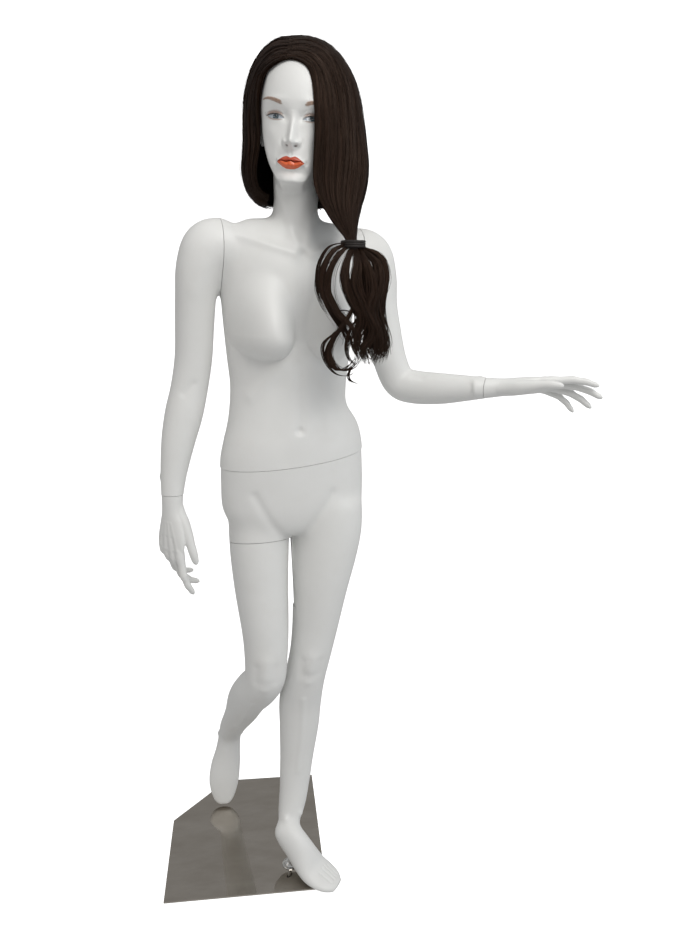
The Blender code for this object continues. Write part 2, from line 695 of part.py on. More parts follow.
def key_plate(name, at, inward, side, radius, stud_radius, head):
    """Steel disc on the inner face of a board, with a slot the stud's head passes."""
    start = at + inward * (BOARD_RECESS + BOARD_THICK + CLEAR)
    plate = turned(name, start, inward, [(radius, 0.0), (radius, KEY_THICK)], steel())
    drop = 0.001
    low = start - inward * drop
    height = KEY_THICK + 2 * drop
    hole = stud_radius + 0.0008
    slot = (head[0] + KEY_PLAY, head[1] + KEY_PLAY, height)
    cut(plate, lambda bm: prism(bm, low, inward, side, (hole, hole), height, 16))
    cut(plate, lambda bm: slab(bm, low, inward, side, slot))
    return plate


def stud(name, at, outward, side, neck_radius, flange_radius, head):
    """Flanged stud: its flange lies on one board, its bar head passes the other's plate."""
    flange_low = -(BOARD_RECESS - CLEAR)
    flange_thick = 0.002
    head_gap = 0.0006
    head_thick = 0.004
    head_sink = 0.0004
    neck_top = BOARD_RECESS + BOARD_THICK + 2 * CLEAR + KEY_THICK + head_gap
    profile = [(flange_radius, flange_low), (flange_radius, flange_low + flange_thick),
               (neck_radius, flange_low + flange_thick), (neck_radius, neck_top)]
    piece = turned(name, at, outward, profile, steel(), 16)
    across, _, axis = frame_of(outward, side)
    lengthwise = axis.cross(across)
    foot = at + outward * (neck_top - head_sink)
    size = (head[0], head[1], head_thick)
    cut(piece, lambda bm: slab(bm, foot, outward, lengthwise, size), "UNION")
    return piece


def make_fitting(prefix, at, outward, side, half, neck, radius, head):
    """Boards, key plate and stud that hold the piece on the outward side of a seam."""
    inward = -outward
    socket_hole = neck + 0.002 + head[0] / 2
    stud_hole = 0.003
    board(prefix + "_socket_board", at, inward, side, half, socket_hole, board_wood())
    key_plate(prefix + "_key_plate", at, inward, side, radius, neck, head)
    board(prefix + "_stud_board", at, outward, side, half, stud_hole, board_wood())
    stud(prefix + "_stud", at, inward, side, neck, radius, head)


def make_wrist(prefix, at, outward):
    """Forearm ring and the plain spigot of the hand that turns in it."""
    inward = -outward
    depth = 0.010
    recess = 0.001
    shoulder = -0.0008
    outer = WRIST_MOUTH[0] - 0.0005
    bore = 0.0060
    pin = bore - 0.0004
    tip = pin - 0.001
    ring_at = at + inward * recess
    tube(prefix + "_socket_ring", ring_at, inward, outer, bore, depth, steel(), 16)
    profile = [(outer, -depth), (outer, shoulder), (pin, shoulder), (pin, depth),
               (tip, depth + recess)]
    turned(prefix + "_spigot", at, inward, profile, steel(), 16)


# ---------------------------------------------------------------- base
def plate_outline(side, corner):
    half = side / 2
    return [(-half, -half), (half, -half), (half, half), (-half + corner, half),
            (-half, half - corner)]


def extruded(name, outline, low, high, mat):
    bm = bmesh.new()
    bottom = [bm.verts.new((x, y, low)) for x, y in outline]
    top = [bm.verts.new((x, y, high)) for x, y in outline]
    bm.faces.new(bottom)
    bm.faces.new(top)
    for i in range(len(outline)):
        j = (i + 1) % len(outline)
        bm.faces.new((bottom[i], bottom[j], top[j], top[i]))
    return new_object(name, mesh_from(bm, name), mat)


PLATE_LOW = PAD_THICK + CLEAR
PLATE_TOP = PLATE_LOW + PLATE_THICK
ROD_START = PLATE_TOP + CLEAR
ROD_FOOT = Vector((*ROD_AT, 0.0))
PAD_INSET = 0.006
BOLT_RADIUS = 0.0025
BOLT_HOLE = 0.0030
BOLT_HEAD = 0.0060
BOLT_REACH = 0.014
TAPPED_RADIUS = 0.0028
TAPPED_DEPTH = 0.016
HEAD_POCKET = 0.0075
BORE_RADIUS = 0.0074
FLANGE = [(0.0190, 0.0), (0.0190, 0.0014), (0.0178, 0.0026), (0.0150, 0.0032),
          (0.0138, 0.0058), (0.0110, 0.0086), (0.0080, 0.0100), (0.0078, 0.0130)]


def drill(obj, low, height, radius, sides=24):
    """Upright round hole on the rod's axis."""
    foot = ROD_FOOT + UP * low
    cut(obj, lambda bm: prism(bm, foot, UP, X_SIDE, (radius, radius), height, sides))


def make_base():
    over = 0.001
    pad = extruded("base_pad", plate_outline(PLATE_SIDE - PAD_INSET, PLATE_CORNER_CUT),
                   0.0, PAD_THICK, material("pad_foam", (0.05, 0.05, 0.05), 0.9, 0.0))
    drill(pad, -over, PAD_THICK + 2 * over, HEAD_POCKET)
    plate = extruded("base_plate", plate_outline(PLATE_SIDE, PLATE_CORNER_CUT), PLATE_LOW,
                     PLATE_TOP, material("mirror_steel", (0.36, 0.34, 0.31), 0.05, 1.0))
    drill(plate, PLATE_LOW - over, PLATE_THICK + 2 * over, BOLT_HOLE)
    dome = turned("rod_flange", ROD_FOOT + UP * ROD_START, UP, FLANGE, chrome())
    drill(dome, 0.0, SOCKET_BOTTOM, ROD_RADIUS + CLEAR)
    chamfer = 0.002
    profile = [(ROD_RADIUS, ROD_START), (ROD_RADIUS, ROD_TOP - chamfer),
               (ROD_RADIUS * 0.7, ROD_TOP)]
    rod = turned("foot_rod", ROD_FOOT, UP, profile, chrome(), 18)
    drill(rod, 0.0, ROD_START + TAPPED_DEPTH, TAPPED_RADIUS, 14)
    bolt = [(BOLT_HEAD, CLEAR), (BOLT_HEAD, PAD_THICK), (BOLT_RADIUS, PAD_THICK),
            (BOLT_RADIUS, ROD_START + BOLT_REACH)]
    turned("rod_bolt", ROD_FOOT, UP, bolt, steel(), 14)


def socket_bore(bm):
    """Hole through the calf and heel that the rod and its socket stand in."""
    low = 0.020
    height = SOCKET_TOP - low + 0.001
    prism(bm, ROD_FOOT + UP * low, UP, X_SIDE, (BORE_RADIUS, BORE_RADIUS), height, 24)


def make_socket():
    outer = BORE_RADIUS - CLEAR
    inner = ROD_RADIUS + 0.0005
    tube("rod_socket", ROD_FOOT + UP * SOCKET_BOTTOM, UP, outer, inner,
         SOCKET_TOP - SOCKET_BOTTOM, steel(), 24)


# ---------------------------------------------------------------- wig
def cap_solid(bm, grow, lowest):
    """The cranium grown by a gap and carried straight down, so the wig can lift off."""
    bands = 7
    rings = []
    half_x, half_y, half_z = (value + grow for value in CRANIUM_SIZE)
    levels = [math.pi / 2 * i / bands for i in range(bands)]
    low = CRANIUM_AT + UP * (lowest - CRANIUM_AT.z)
    rings.append(ring_points(low, UP, HEAD_SIDE, (half_x, half_y, half_y), 24))
    for angle in levels:
        wide = math.cos(angle)
        centre = CRANIUM_AT + UP * (half_z * math.sin(angle))
        widths = (half_x * wide, half_y * wide, half_y * wide)
        rings.append(ring_points(centre, UP, HEAD_SIDE, widths, 24))
    skin(bm, rings)


def face_opening(bm, half_width, top):
    """Column in front of the face, narrowing to a rounded hairline at its top."""
    aside, ahead, half_depth = -0.008, 0.168, 0.15
    low = 1.40
    column = CRANIUM_AT + HEAD_SIDE * aside + HEAD_FRONT * ahead
    rings = []
    for height, width in ((low, 1.0), (top - 0.050, 1.0), (top - 0.018, 0.75), (top, 0.30)):
        middle = Vector((column.x, column.y, height))
        widths = (half_width * width, half_depth, half_depth)
        rings.append(ring_points(middle, UP, HEAD_SIDE, widths, 16, 8.0))
    skin(bm, rings)


HAIR = [
    (0.100, 0.020, 1.520, 0.080, 0.060, 0.100),
    (0.106, 0.025, 1.560, 0.118, 0.090, 0.110),
    (0.112, 0.028, 1.610, 0.124, 0.105, 0.118),
    (0.112, 0.030, 1.660, 0.124, 0.110, 0.120),
    (0.110, 0.030, 1.710, 0.119, 0.112, 0.120),
    (0.108, 0.030, 1.760, 0.106, 0.108, 0.115),
    (0.106, 0.028, 1.800, 0.086, 0.092, 0.098),
    (0.102, 0.026, 1.832, 0.056, 0.064, 0.066),
    (0.098, 0.024, 1.852, 0.018, 0.024, 0.022),
]
SIDE_HAIR = [
    (0.180, -0.010, 1.660, 0.050, 0.050, 0.060),
    (0.192, -0.040, 1.600, 0.046, 0.046, 0.050),
    (0.196, -0.080, 1.550, 0.038, 0.040, 0.040),
    (0.197, -0.116, 1.510, 0.026, 0.026, 0.026),
    (0.196, -0.126, 1.494, 0.018, 0.018, 0.018),
    (0.196, -0.129, 1.472, 0.014, 0.014, 0.014),
]
PONYTAIL = [
    (0.196, -0.130, 1.464, 0.018, 0.017, 0.016),
    (0.196, -0.132, 1.456, 0.022, 0.019, 0.018),
    (0.199, -0.146, 1.436, 0.036, 0.026, 0.024),
    (0.202, -0.160, 1.410, 0.048, 0.034, 0.028),
    (0.206, -0.164, 1.350, 0.050, 0.034, 0.028),
    (0.214, -0.164, 1.290, 0.044, 0.030, 0.026),
    (0.222, -0.162, 1.252, 0.036, 0.024, 0.022),
]


def make_tie():
    bm = bmesh.new()
    turns = 20
    loops = []
    for i in range(turns):
        angle = 2 * math.pi * i / turns
        out = Vector((math.cos(angle), math.sin(angle), 0.0))
        along = Vector((-out.y, out.x, 0.0))
        widths = (TIE_CORD, TIE_CORD, TIE_CORD)
        ring = ring_points(TIE_AT + out * TIE_RADIUS, along, UP, widths, 8, facing=out)
        loops.append([bm.verts.new(p) for p in ring])
    for k, low in enumerate(loops):
        high = loops[(k + 1) % turns]
        for i in range(len(low)):
            j = (i + 1) % len(low)
            bm.faces.new((low[i], low[j], high[j], high[i]))
    cord = material("tie_cord", (0.10, 0.07, 0.06), 0.5, 0.0)
    new_object("hair_tie", mesh_from(bm, "hair_tie"), cord)


def make_curl():
    """Loose lock that hangs beside the ponytail and curls back at its end."""
    stations = [
        (0.150, -0.150, 1.452, 0.006, 0.006, 0.006),
        (0.142, -0.160, 1.410, 0.009, 0.008, 0.008),
        (0.146, -0.166, 1.370, 0.008, 0.007, 0.007),
        (0.150, -0.168, 1.330, 0.008, 0.007, 0.007),
        (0.152, -0.166, 1.290, 0.007, 0.006, 0.006),
        (0.164, -0.164, 1.258, 0.005, 0.005, 0.005),
    ]
    mesh = drawn_mesh(lambda bm: limb(bm, stations, X_SIDE, sides=8, count=14), "wig_curl")
    new_object("wig_curl", mesh, hair_fibre())


def front_of(shell, x, z):
    """Point on the shell's front at the given place."""
    start = Vector((x, -0.5, z))
    _, place, _, _ = shell.ray_cast(start, -TO_FRONT)
    return place


def make_lashes(shell):
    """Each strip stands just proud of the foremost point of its eye lid."""
    width, depth, thickness, gap = 0.024, 0.005, 0.0010, 0.0008
    slope = Vector((0.0, -0.2, 1.0))
    fibre = material("lash", (0.020, 0.015, 0.010), 0.7, 0.0)
    for name, x, z in (("right_lashes", 0.052, 1.7035), ("left_lashes", 0.107, 1.6995)):
        foremost = min(front_of(shell, x + width * t / 8, z + rise).y
                       for t in range(-4, 5) for rise in (-0.001, 0.0, 0.003))
        middle = Vector((x, foremost - gap - depth / 2, z))
        strip = drawn_mesh(lambda bm: slab(bm, middle, slope, X_SIDE, (width, depth, thickness)),
                           name)
        new_object(name, strip, fibre)


def make_ankle_screw():
    """Round-headed screw in a shallow counterbore at the back of the left ankle."""
    shell = bpy.data.objects["lower_body_shell"]
    away = Vector((0.75, 0.66, 0.0)).normalized()
    ankle = Vector((0.117, -0.045, 0.180))
    _, place, _, _ = shell.ray_cast(ankle + away * 0.2, -away)
    sink, hole_depth, reach = 0.0012, 0.016, 0.03
    hole, spot = 0.0026, 0.0056
    shank, shank_length = 0.0022, 0.012
    head, rim, crown, crown_height = 0.0050, 0.0012, 0.0030, 0.0022
    bottom = place - away * hole_depth
    seat = place - away * sink
    cut(shell, lambda bm: prism(bm, bottom, away, X_SIDE, (hole, hole), reach, 12))
    cut(shell, lambda bm: prism(bm, seat, away, X_SIDE, (spot, spot), reach, 12))
    profile = [(shank, -shank_length), (shank, 0.0), (head, 0.0), (head, rim),
               (crown, crown_height)]
    turned("ankle_screw", seat + away * CLEAR, away, profile, steel(), 12)


def drawn_mesh(build, name):
    bm = bmesh.new()
    build(bm)
    return mesh_from(bm, name)


CAP_INNER = 0.0030
CAP_OUTER = 0.0054
HAIR_INNER = 0.0060
CAP_HEM = 1.700


def make_cap():
    net = material("cap_net", (0.03, 0.02, 0.02), 0.9, 0.0)
    cap = new_object("wig_cap", drawn_mesh(lambda bm: cap_solid(bm, CAP_OUTER, CAP_HEM), "wig_cap"),
                     net)
    cut(cap, lambda bm: cap_solid(bm, CAP_INNER, CAP_HEM - 0.050))
    cut(cap, lambda bm: face_opening(bm, 0.062, 1.800))


def make_hair():
    def draw(bm):
        limb(bm, HAIR, HEAD_SIDE, sides=28)
        limb(bm, SIDE_HAIR, X_SIDE, sides=16)
    hair = united("wig_hair", draw, 0.007, 2, 900, hair_fibre())
    hair_foot = 1.35
    cut(hair, lambda bm: cap_solid(bm, HAIR_INNER, hair_foot))
    cut(hair, lambda bm: face_opening(bm, 0.050, 1.792))
    shoulders = Vector((0.10, -0.035, 1.44))
    shoulder_space = (0.6, 0.204, 0.4)
    cut(hair, lambda bm: slab(bm, shoulders, Y_SIDE, X_SIDE, shoulder_space))


def make_ponytail():
    mesh = drawn_mesh(lambda bm: limb(bm, PONYTAIL, X_SIDE, sides=16, count=14), "wig_ponytail")
    new_object("wig_ponytail", mesh, hair_fibre())


# Name, anchor, outward direction, side, opening, neck radius, plate radius and stud head.
FITTINGS = [
    ("waist", WAIST_AT, WAIST_UP, CHEST_SIDE, WAIST_MOUTH, 0.010, 0.036, (0.034, 0.012)),
    ("thigh", THIGH_AT, -THIGH_UP, X_SIDE, THIGH_MOUTH, 0.008, 0.026, (0.026, 0.010)),
    ("right_shoulder", R_SHOULDER_AT, R_SHOULDER_OUT, Y_SIDE, SHOULDER_MOUTH,
     0.006, 0.022, (0.020, 0.008)),
    ("left_shoulder", L_SHOULDER_AT, L_SHOULDER_OUT, Y_SIDE, SHOULDER_MOUTH,
     0.006, 0.022, (0.020, 0.008)),
]


def main():
    clear_scene()
    make_base()
    make_lower_shell()
    make_socket()
    make_right_leg()
    make_upper_shell()
    make_arm("right_arm_shell", RIGHT_ARM, RIGHT_ARM_FACING, R_SHOULDER_AT, R_SHOULDER_OUT,
             R_WRIST_AT, R_WRIST_OUT, RIGHT_HAND)
    make_arm("left_arm_shell", LEFT_ARM, LEFT_ARM_FACING, L_SHOULDER_AT, L_SHOULDER_OUT,
             L_WRIST_AT, L_WRIST_OUT, LEFT_HAND)
    make_hand("right_hand", RIGHT_HAND, R_WRIST_AT, R_WRIST_OUT)
    make_hand("left_hand", LEFT_HAND, L_WRIST_AT, L_WRIST_OUT)
    for fitting in FITTINGS:
        make_fitting(*fitting)
    make_wrist("right_wrist", R_WRIST_AT, R_WRIST_OUT)
    make_wrist("left_wrist", L_WRIST_AT, L_WRIST_OUT)
    make_ankle_screw()
    make_lashes(bpy.data.objects["upper_body_shell"])
    make_cap()
    make_hair()
    make_ponytail()
    make_tie()
    make_curl()


main()
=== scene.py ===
"""Full body display mannequin: painted shells, face, hands, wig and mirror base."""
import json
import math
import random

import bmesh
import bpy
import numpy as np
from mathutils import Matrix, Vector
from mathutils.bvhtree import BVHTree


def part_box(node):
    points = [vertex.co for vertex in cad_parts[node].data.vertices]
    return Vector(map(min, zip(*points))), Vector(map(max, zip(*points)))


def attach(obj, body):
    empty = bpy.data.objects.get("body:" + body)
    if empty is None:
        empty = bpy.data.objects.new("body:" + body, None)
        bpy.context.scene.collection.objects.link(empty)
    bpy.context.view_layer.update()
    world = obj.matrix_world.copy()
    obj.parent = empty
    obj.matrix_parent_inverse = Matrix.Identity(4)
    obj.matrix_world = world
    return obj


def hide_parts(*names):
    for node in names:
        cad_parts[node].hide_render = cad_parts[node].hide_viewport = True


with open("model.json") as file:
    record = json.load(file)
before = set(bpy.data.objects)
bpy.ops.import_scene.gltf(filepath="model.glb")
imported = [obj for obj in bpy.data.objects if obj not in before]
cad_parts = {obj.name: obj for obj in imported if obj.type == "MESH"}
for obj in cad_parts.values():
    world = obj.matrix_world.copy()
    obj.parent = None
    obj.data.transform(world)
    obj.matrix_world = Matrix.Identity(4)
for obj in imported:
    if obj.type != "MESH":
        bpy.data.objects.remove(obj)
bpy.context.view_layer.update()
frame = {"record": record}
rng = random.Random(11)

# ---------------------------------------------------------------- the frame's places
JOINTS = {joint["name"]: joint for joint in frame["record"]["behaviour"]["joints"]}


def joint_place(name):
    return Vector(JOINTS[name]["pos_m"])


def joint_axis(name):
    return Vector(JOINTS[name]["axis"]).normalized()


WAIST_AT = joint_place("waist_turn")
WAIST_UP = joint_axis("waist_turn")
THIGH_AT = joint_place("right_leg_turn")
THIGH_UP = joint_axis("right_leg_turn")
R_SHOULDER_AT = joint_place("right_arm_turn")
R_SHOULDER_OUT = joint_axis("right_arm_turn")
L_SHOULDER_AT = joint_place("left_arm_turn")
L_SHOULDER_OUT = -joint_axis("left_arm_turn")
R_WRIST_AT = joint_place("right_hand_turn")
R_WRIST_OUT = joint_axis("right_hand_turn")
L_WRIST_AT = joint_place("left_hand_turn")
L_WRIST_OUT = joint_axis("left_hand_turn")

CHEST_YAW = math.radians(12.0)
HEAD_YAW = math.radians(-12.0)
HEAD_ROLL = math.radians(2.4)
CRANIUM_AT = Vector((0.096, 0.008, 1.722))
CRANIUM_SIZE = (0.074, 0.094, 0.098)
TIE_AT = Vector((0.196, -0.129, 1.479))

X_SIDE = Vector((1.0, 0.0, 0.0))
Y_SIDE = Vector((0.0, 1.0, 0.0))
UP = Vector((0.0, 0.0, 1.0))
TO_FRONT = Vector((0.0, -1.0, 0.0))
CHEST_SIDE = Vector((math.cos(CHEST_YAW), math.sin(CHEST_YAW), 0.0))
CHEST_FRONT = Vector((math.sin(CHEST_YAW), -math.cos(CHEST_YAW), 0.0))
HEAD_SIDE = Vector((math.cos(HEAD_YAW), math.sin(HEAD_YAW), 0.0))
HEAD_FRONT = Vector((math.sin(HEAD_YAW), -math.cos(HEAD_YAW), 0.0))
LEFT_FOOT_SIDE = Vector((0.64, 0.77, 0.0))
LEFT_FOOT_AHEAD = Vector((0.77, -0.64, 0.0))
RIGHT_ARM_FACING = Vector((1.0, 0.0, -1.0))
LEFT_ARM_FACING = Vector((1.0, 0.0, 1.0))

SEAM_HALF = 0.0005
MOUTH_DEPTH = 0.030
WAIST_MOUTH = (0.1355, 0.0725)
THIGH_MOUTH = (0.0505, 0.0525)
SHOULDER_MOUTH = (0.0365, 0.0365)
WRIST_MOUTH = (0.0160, 0.0160)
WRIST_SECTION = (0.024, 0.022, 0.022)
ROD_HOLE = 0.0074



def metres(values):
    """Nested rows of millimetres as the same rows in metres."""
    if isinstance(values, (list, tuple)):
        return type(values)(metres(value) for value in values)
    return round(values / 1000.0, 7)


# Stations in millimetres: x, y, z of the middle, half width, half depth to front and back.
TORSO = metres([
    (106, 10, 860, 120, 70, 80), (105, 12, 900, 160, 86, 105), (105, 14, 950, 165, 92, 108),
    (102, 15, 1020, 163, 96, 92), (103, 16, 1065, 157, 96, 78), (101, 18, 1105, 146, 92, 68),
    (91, 20, 1145, 131, 88, 64), (90, 24, 1190, 129, 88, 68), (89, 27, 1250, 135, 92, 80),
    (87, 31, 1330, 141, 96, 92), (88, 33, 1400, 148, 94, 92), (89, 33, 1450, 154, 84, 80),
    (91, 30, 1492, 146, 62, 60), (94, 27, 1524, 100, 40, 44)
])
NECK = metres([
    (94, 34, 1470, 68, 60, 55), (96, 26, 1510, 52, 53, 50), (96, 16, 1550, 45, 48, 50),
    (95, 8, 1600, 45, 50, 56), (95, 4, 1650, 46, 50, 60)
])
JAW = metres([
    (82, -58, 1588, 18, 26, 30), (85, -46, 1606, 38, 44, 40), (88, -36, 1632, 53, 54, 50),
    (91, -26, 1668, 63, 61, 60), (93, -14, 1710, 68, 70, 70), (94, -6, 1755, 66, 70, 80)
])
LEFT_LEG = metres([
    (186, 18, 930, 78, 78, 85), (185, 12, 860, 82, 80, 86), (179, 4, 790, 76, 78, 80),
    (171, -4, 720, 67, 72, 70), (162, -10, 620, 56, 62, 58), (152, -16, 545, 50, 56, 48),
    (141, -16, 480, 49, 50, 46), (132, -8, 410, 52, 48, 56), (130, -14, 340, 49, 42, 52),
    (125, -26, 260, 42, 36, 42), (120, -40, 195, 38, 34, 34), (114, -56, 145, 36, 36, 32),
    (104, -74, 108, 31, 34, 30)
])
LEFT_FOOT = metres([
    (76, -84, 104, 16, 20, 16), (86, -92, 100, 29, 30, 22), (104, -106, 88, 31, 40, 35),
    (124, -124, 69, 32, 40, 34), (144, -142, 47, 37, 32, 30), (162, -158, 32, 41, 22, 22),
    (182, -174, 26, 41, 15, 16), (202, -190, 22, 34, 11, 11), (216, -201, 19, 20, 7, 7)
])
RIGHT_LEG = metres([
    (34, 12, 930, 72, 76, 85), (30, 6, 870, 72, 78, 84), (29, -4, 810, 69, 78, 78),
    (34, -18, 720, 63, 72, 68), (43, -36, 620, 55, 62, 56), (45, -48, 550, 50, 55, 48),
    (42, -48, 500, 49, 50, 45), (22, -10, 440, 53, 45, 52), (3, 38, 380, 50, 40, 54),
    (-12, 86, 310, 43, 35, 44), (-28, 132, 250, 37, 32, 34), (-40, 170, 200, 34, 32, 32),
    (-45, 188, 168, 31, 30, 28)
])
RIGHT_FOOT = metres([
    (-44, 222, 176, 18, 18, 14), (-45, 212, 172, 29, 27, 18), (-46, 192, 160, 32, 34, 24),
    (-50, 166, 132, 35, 30, 24), (-56, 142, 102, 40, 23, 20), (-60, 122, 74, 41, 17, 16),
    (-61, 108, 48, 36, 12, 12), (-61, 98, 24, 26, 9, 9), (-61, 92, 14, 14, 6, 6)
])
RIGHT_ARM = metres([
    (-30, 10, 1468, 52, 52, 52), (-72, 4, 1462, 56, 56, 55), (-94, 2, 1424, 49, 52, 52),
    (-104, 4, 1370, 42, 47, 48), (-108, 8, 1310, 40, 43, 44), (-112, 12, 1240, 39, 39, 40),
    (-122, 12, 1175, 39, 36, 38), (-134, 6, 1120, 40, 37, 37), (-146, -2, 1065, 36, 34, 34),
    (-156, -12, 1000, 29, 28, 28), (-160, -22, 948, 24, 22, 22), (-160, -26, 905, 23.5, 18, 18)
])
LEFT_ARM = metres([
    (205, 58, 1464, 52, 52, 52), (252, 64, 1458, 58, 56, 55), (276, 66, 1420, 48, 52, 52),
    (287, 66, 1360, 42, 47, 47), (302, 66, 1300, 40, 43, 43), (322, 66, 1235, 38, 39, 40),
    (346, 62, 1190, 38, 38, 40), (378, 40, 1182, 38, 37, 40), (425, 4, 1186, 35, 36, 36),
    (470, -32, 1194, 29, 30, 29), (509, -58, 1200, 23, 24.5, 24.5),
    (548, -78, 1202, 18, 23.5, 23.5)
])
# Finger: reach and sideways place of the knuckle, splay in degrees, lengths of the three
# bones and knuckle radius.
FINGERS = [
    (0.136, 0.027, 8.0, (0.042, 0.027, 0.023), 0.0102),
    (0.141, 0.009, 2.0, (0.047, 0.031, 0.025), 0.0104),
    (0.137, -0.009, -4.0, (0.043, 0.029, 0.024), 0.0100),
    (0.129, -0.026, -11.0, (0.034, 0.022, 0.021), 0.0090),
]


# ---------------------------------------------------------------- mesh tools
def new_object(name, mesh):
    obj = bpy.data.objects.new(name, mesh)
    bpy.context.scene.collection.objects.link(obj)
    return obj


def mesh_from(bm, name):
    bmesh.ops.recalc_face_normals(bm, faces=bm.faces[:])
    mesh = bpy.data.meshes.new(name)
    bm.to_mesh(mesh)
    bm.free()
    return mesh


def drawn(name, build):
    bm = bmesh.new()
    build(bm)
    return new_object(name, mesh_from(bm, name))


def mesh_object(name, points, faces):
    mesh = bpy.data.meshes.new(name)
    mesh.from_pydata([tuple(p) for p in points], [], [tuple(f) for f in faces])
    mesh.update()
    mesh.shade_smooth()
    return new_object(name, mesh)


def point_values(obj, name, values, kind="FLOAT"):
    """Store one number, or one vector, for each point, for its material to read."""
    layer = obj.data.attributes.new(name, kind, "POINT")
    field = "value" if kind == "FLOAT" else "vector"
    layer.data.foreach_set(field, np.array(values, np.float32).ravel())


def turn_outward(obj):
    bm = bmesh.new()
    bm.from_mesh(obj.data)
    bmesh.ops.recalc_face_normals(bm, faces=bm.faces[:])
    bm.to_mesh(obj.data)
    bm.free()


def baked(obj):
    """Apply the object's modifiers and leave it with the plain resulting mesh."""
    graph = bpy.context.evaluated_depsgraph_get()
    graph.update()
    mesh = bpy.data.meshes.new_from_object(obj.evaluated_get(graph))
    old = obj.data
    obj.modifiers.clear()
    obj.data = mesh
    bpy.data.meshes.remove(old)
    return obj


def frame_of(normal, side, facing=TO_FRONT):
    """Side, front and normal directions. The front is on the facing direction's side."""
    axis = normal.normalized()
    across = (side - axis * side.dot(axis)).normalized()
    front = axis.cross(across)
    if front.dot(facing) < 0:
        front = -front
    return across, front, axis


def spline(points, count):
    """Catmull-Rom curve through the rows of points, resampled to count rows."""
    rows = np.array(points, float)
    rows = np.vstack([2 * rows[0] - rows[1], rows, 2 * rows[-1] - rows[-2]])
    spans = len(rows) - 3
    out = []
    for place in np.linspace(0.0, spans, count):
        span = min(int(place), spans - 1)
        t = place - span
        a, b, c, d = rows[span:span + 4]
        out.append(0.5 * (2 * b + (c - a) * t + (2 * a - 5 * b + 4 * c - d) * t ** 2
                          + (3 * b - a - 3 * c + d) * t ** 3))
    return np.array(out)


def ring_points(centre, normal, side, widths, sides, facing=TO_FRONT):
    across, front, _ = frame_of(normal, side, facing)
    half_width, half_front, half_back = widths
    points = []
    for i in range(sides):
        angle = 2 * math.pi * i / sides
        depth = half_front if math.sin(angle) > 0 else half_back
        points.append(centre + across * (math.cos(angle) * half_width)
                      + front * (math.sin(angle) * depth))
    return points


def skin(bm, rings):
    """Close a tube through the rings, with a flat fan at each end."""
    loops = [[bm.verts.new(p) for p in ring] for ring in rings]
    for low, high in zip(loops, loops[1:]):
        for i in range(len(low)):
            j = (i + 1) % len(low)
            bm.faces.new((low[i], low[j], high[j], high[i]))
    bm.faces.new(loops[0][::-1])
    bm.faces.new(loops[-1])


def limb(bm, stations, side, sides=48, count=None, facing=TO_FRONT, level=False):
    """Loft along a limb. The ring's front is the tangent crossed with its side."""
    rows = spline(stations, count or 8 * len(stations))
    middles = [Vector(row[:3]) for row in rows]
    rings = []
    for i, row in enumerate(rows):
        ahead = middles[min(i + 1, len(middles) - 1)]
        behind = middles[max(i - 1, 0)]
        normal = UP if level else ahead - behind
        rings.append(ring_points(middles[i], normal, side, row[3:6], sides, facing))
    skin(bm, rings)


def ellipsoid(bm, centre, size, yaw=0.0, pitch=0.0):
    turn = Matrix.Rotation(yaw, 4, "Z") @ Matrix.Rotation(pitch, 4, "X")
    place = Matrix.Translation(centre) @ turn @ Matrix.Diagonal((*size, 1.0))
    bmesh.ops.create_uvsphere(bm, u_segments=48, v_segments=32, radius=1.0, matrix=place)


def united(name, build, voxel, smooth):
    """Union of the closed solids that build draws, remeshed and smoothed."""
    obj = drawn(name, build)
    remesh = obj.modifiers.new("union", "REMESH")
    remesh.mode = "VOXEL"
    remesh.voxel_size = voxel
    soften = obj.modifiers.new("soften", "SMOOTH")
    soften.factor = 0.5
    soften.iterations = smooth
    return baked(obj)


def cut(obj, build):
    """Take the closed solid that build draws away from the object."""
    tool = drawn("cutter", build)
    boolean = obj.modifiers.new("cut", "BOOLEAN")
    boolean.operation = "DIFFERENCE"
    boolean.solver = "EXACT"
    boolean.object = tool
    baked(obj)
    bpy.data.objects.remove(tool, do_unlink=True)


def slab(bm, centre, normal, side, size):
    """Box of the given width, depth and height that stands on centre along normal."""
    across, _, axis = frame_of(normal, side)
    middle = centre + axis * (size[2] / 2)
    turn = Matrix((across, axis.cross(across), axis)).transposed().to_4x4()
    place = Matrix.Translation(middle) @ turn @ Matrix.Diagonal((*size, 1.0))
    bmesh.ops.create_cube(bm, size=1.0, matrix=place)


def mouth(bm, at, inward, side, half, depth=MOUTH_DEPTH):
    """Straight-sided opening that a fitting board sits in."""
    overlap = 0.004
    widths = (half[0], half[1], half[1])
    low = ring_points(at - inward * overlap, inward, side, widths, 96)
    high = ring_points(at + inward * depth, inward, side, widths, 96)
    skin(bm, [low, high])


def vertex_arrays(obj):
    mesh = obj.data
    points = np.empty(len(mesh.vertices) * 3, np.float32)
    mesh.vertices.foreach_get("co", points)
    normals = np.empty(len(mesh.vertices) * 3, np.float32)
    mesh.vertices.foreach_get("normal", normals)
    return points.reshape(-1, 3).astype(float), normals.reshape(-1, 3).astype(float)


def set_points(obj, points):
    obj.data.vertices.foreach_set("co", points.astype(np.float32).ravel())
    obj.data.update()


def distance_to_line(points, line):
    best = np.full(len(points), 1e9)
    for a, b in zip(line, line[1:] or line):
        a = np.array(a, float)
        b = np.array(b, float)
        run = b - a
        t = np.clip((points - a) @ run / max(run @ run, 1e-12), 0.0, 1.0)
        best = np.minimum(best, np.linalg.norm(points - a - t[:, None] * run, axis=1))
    return best


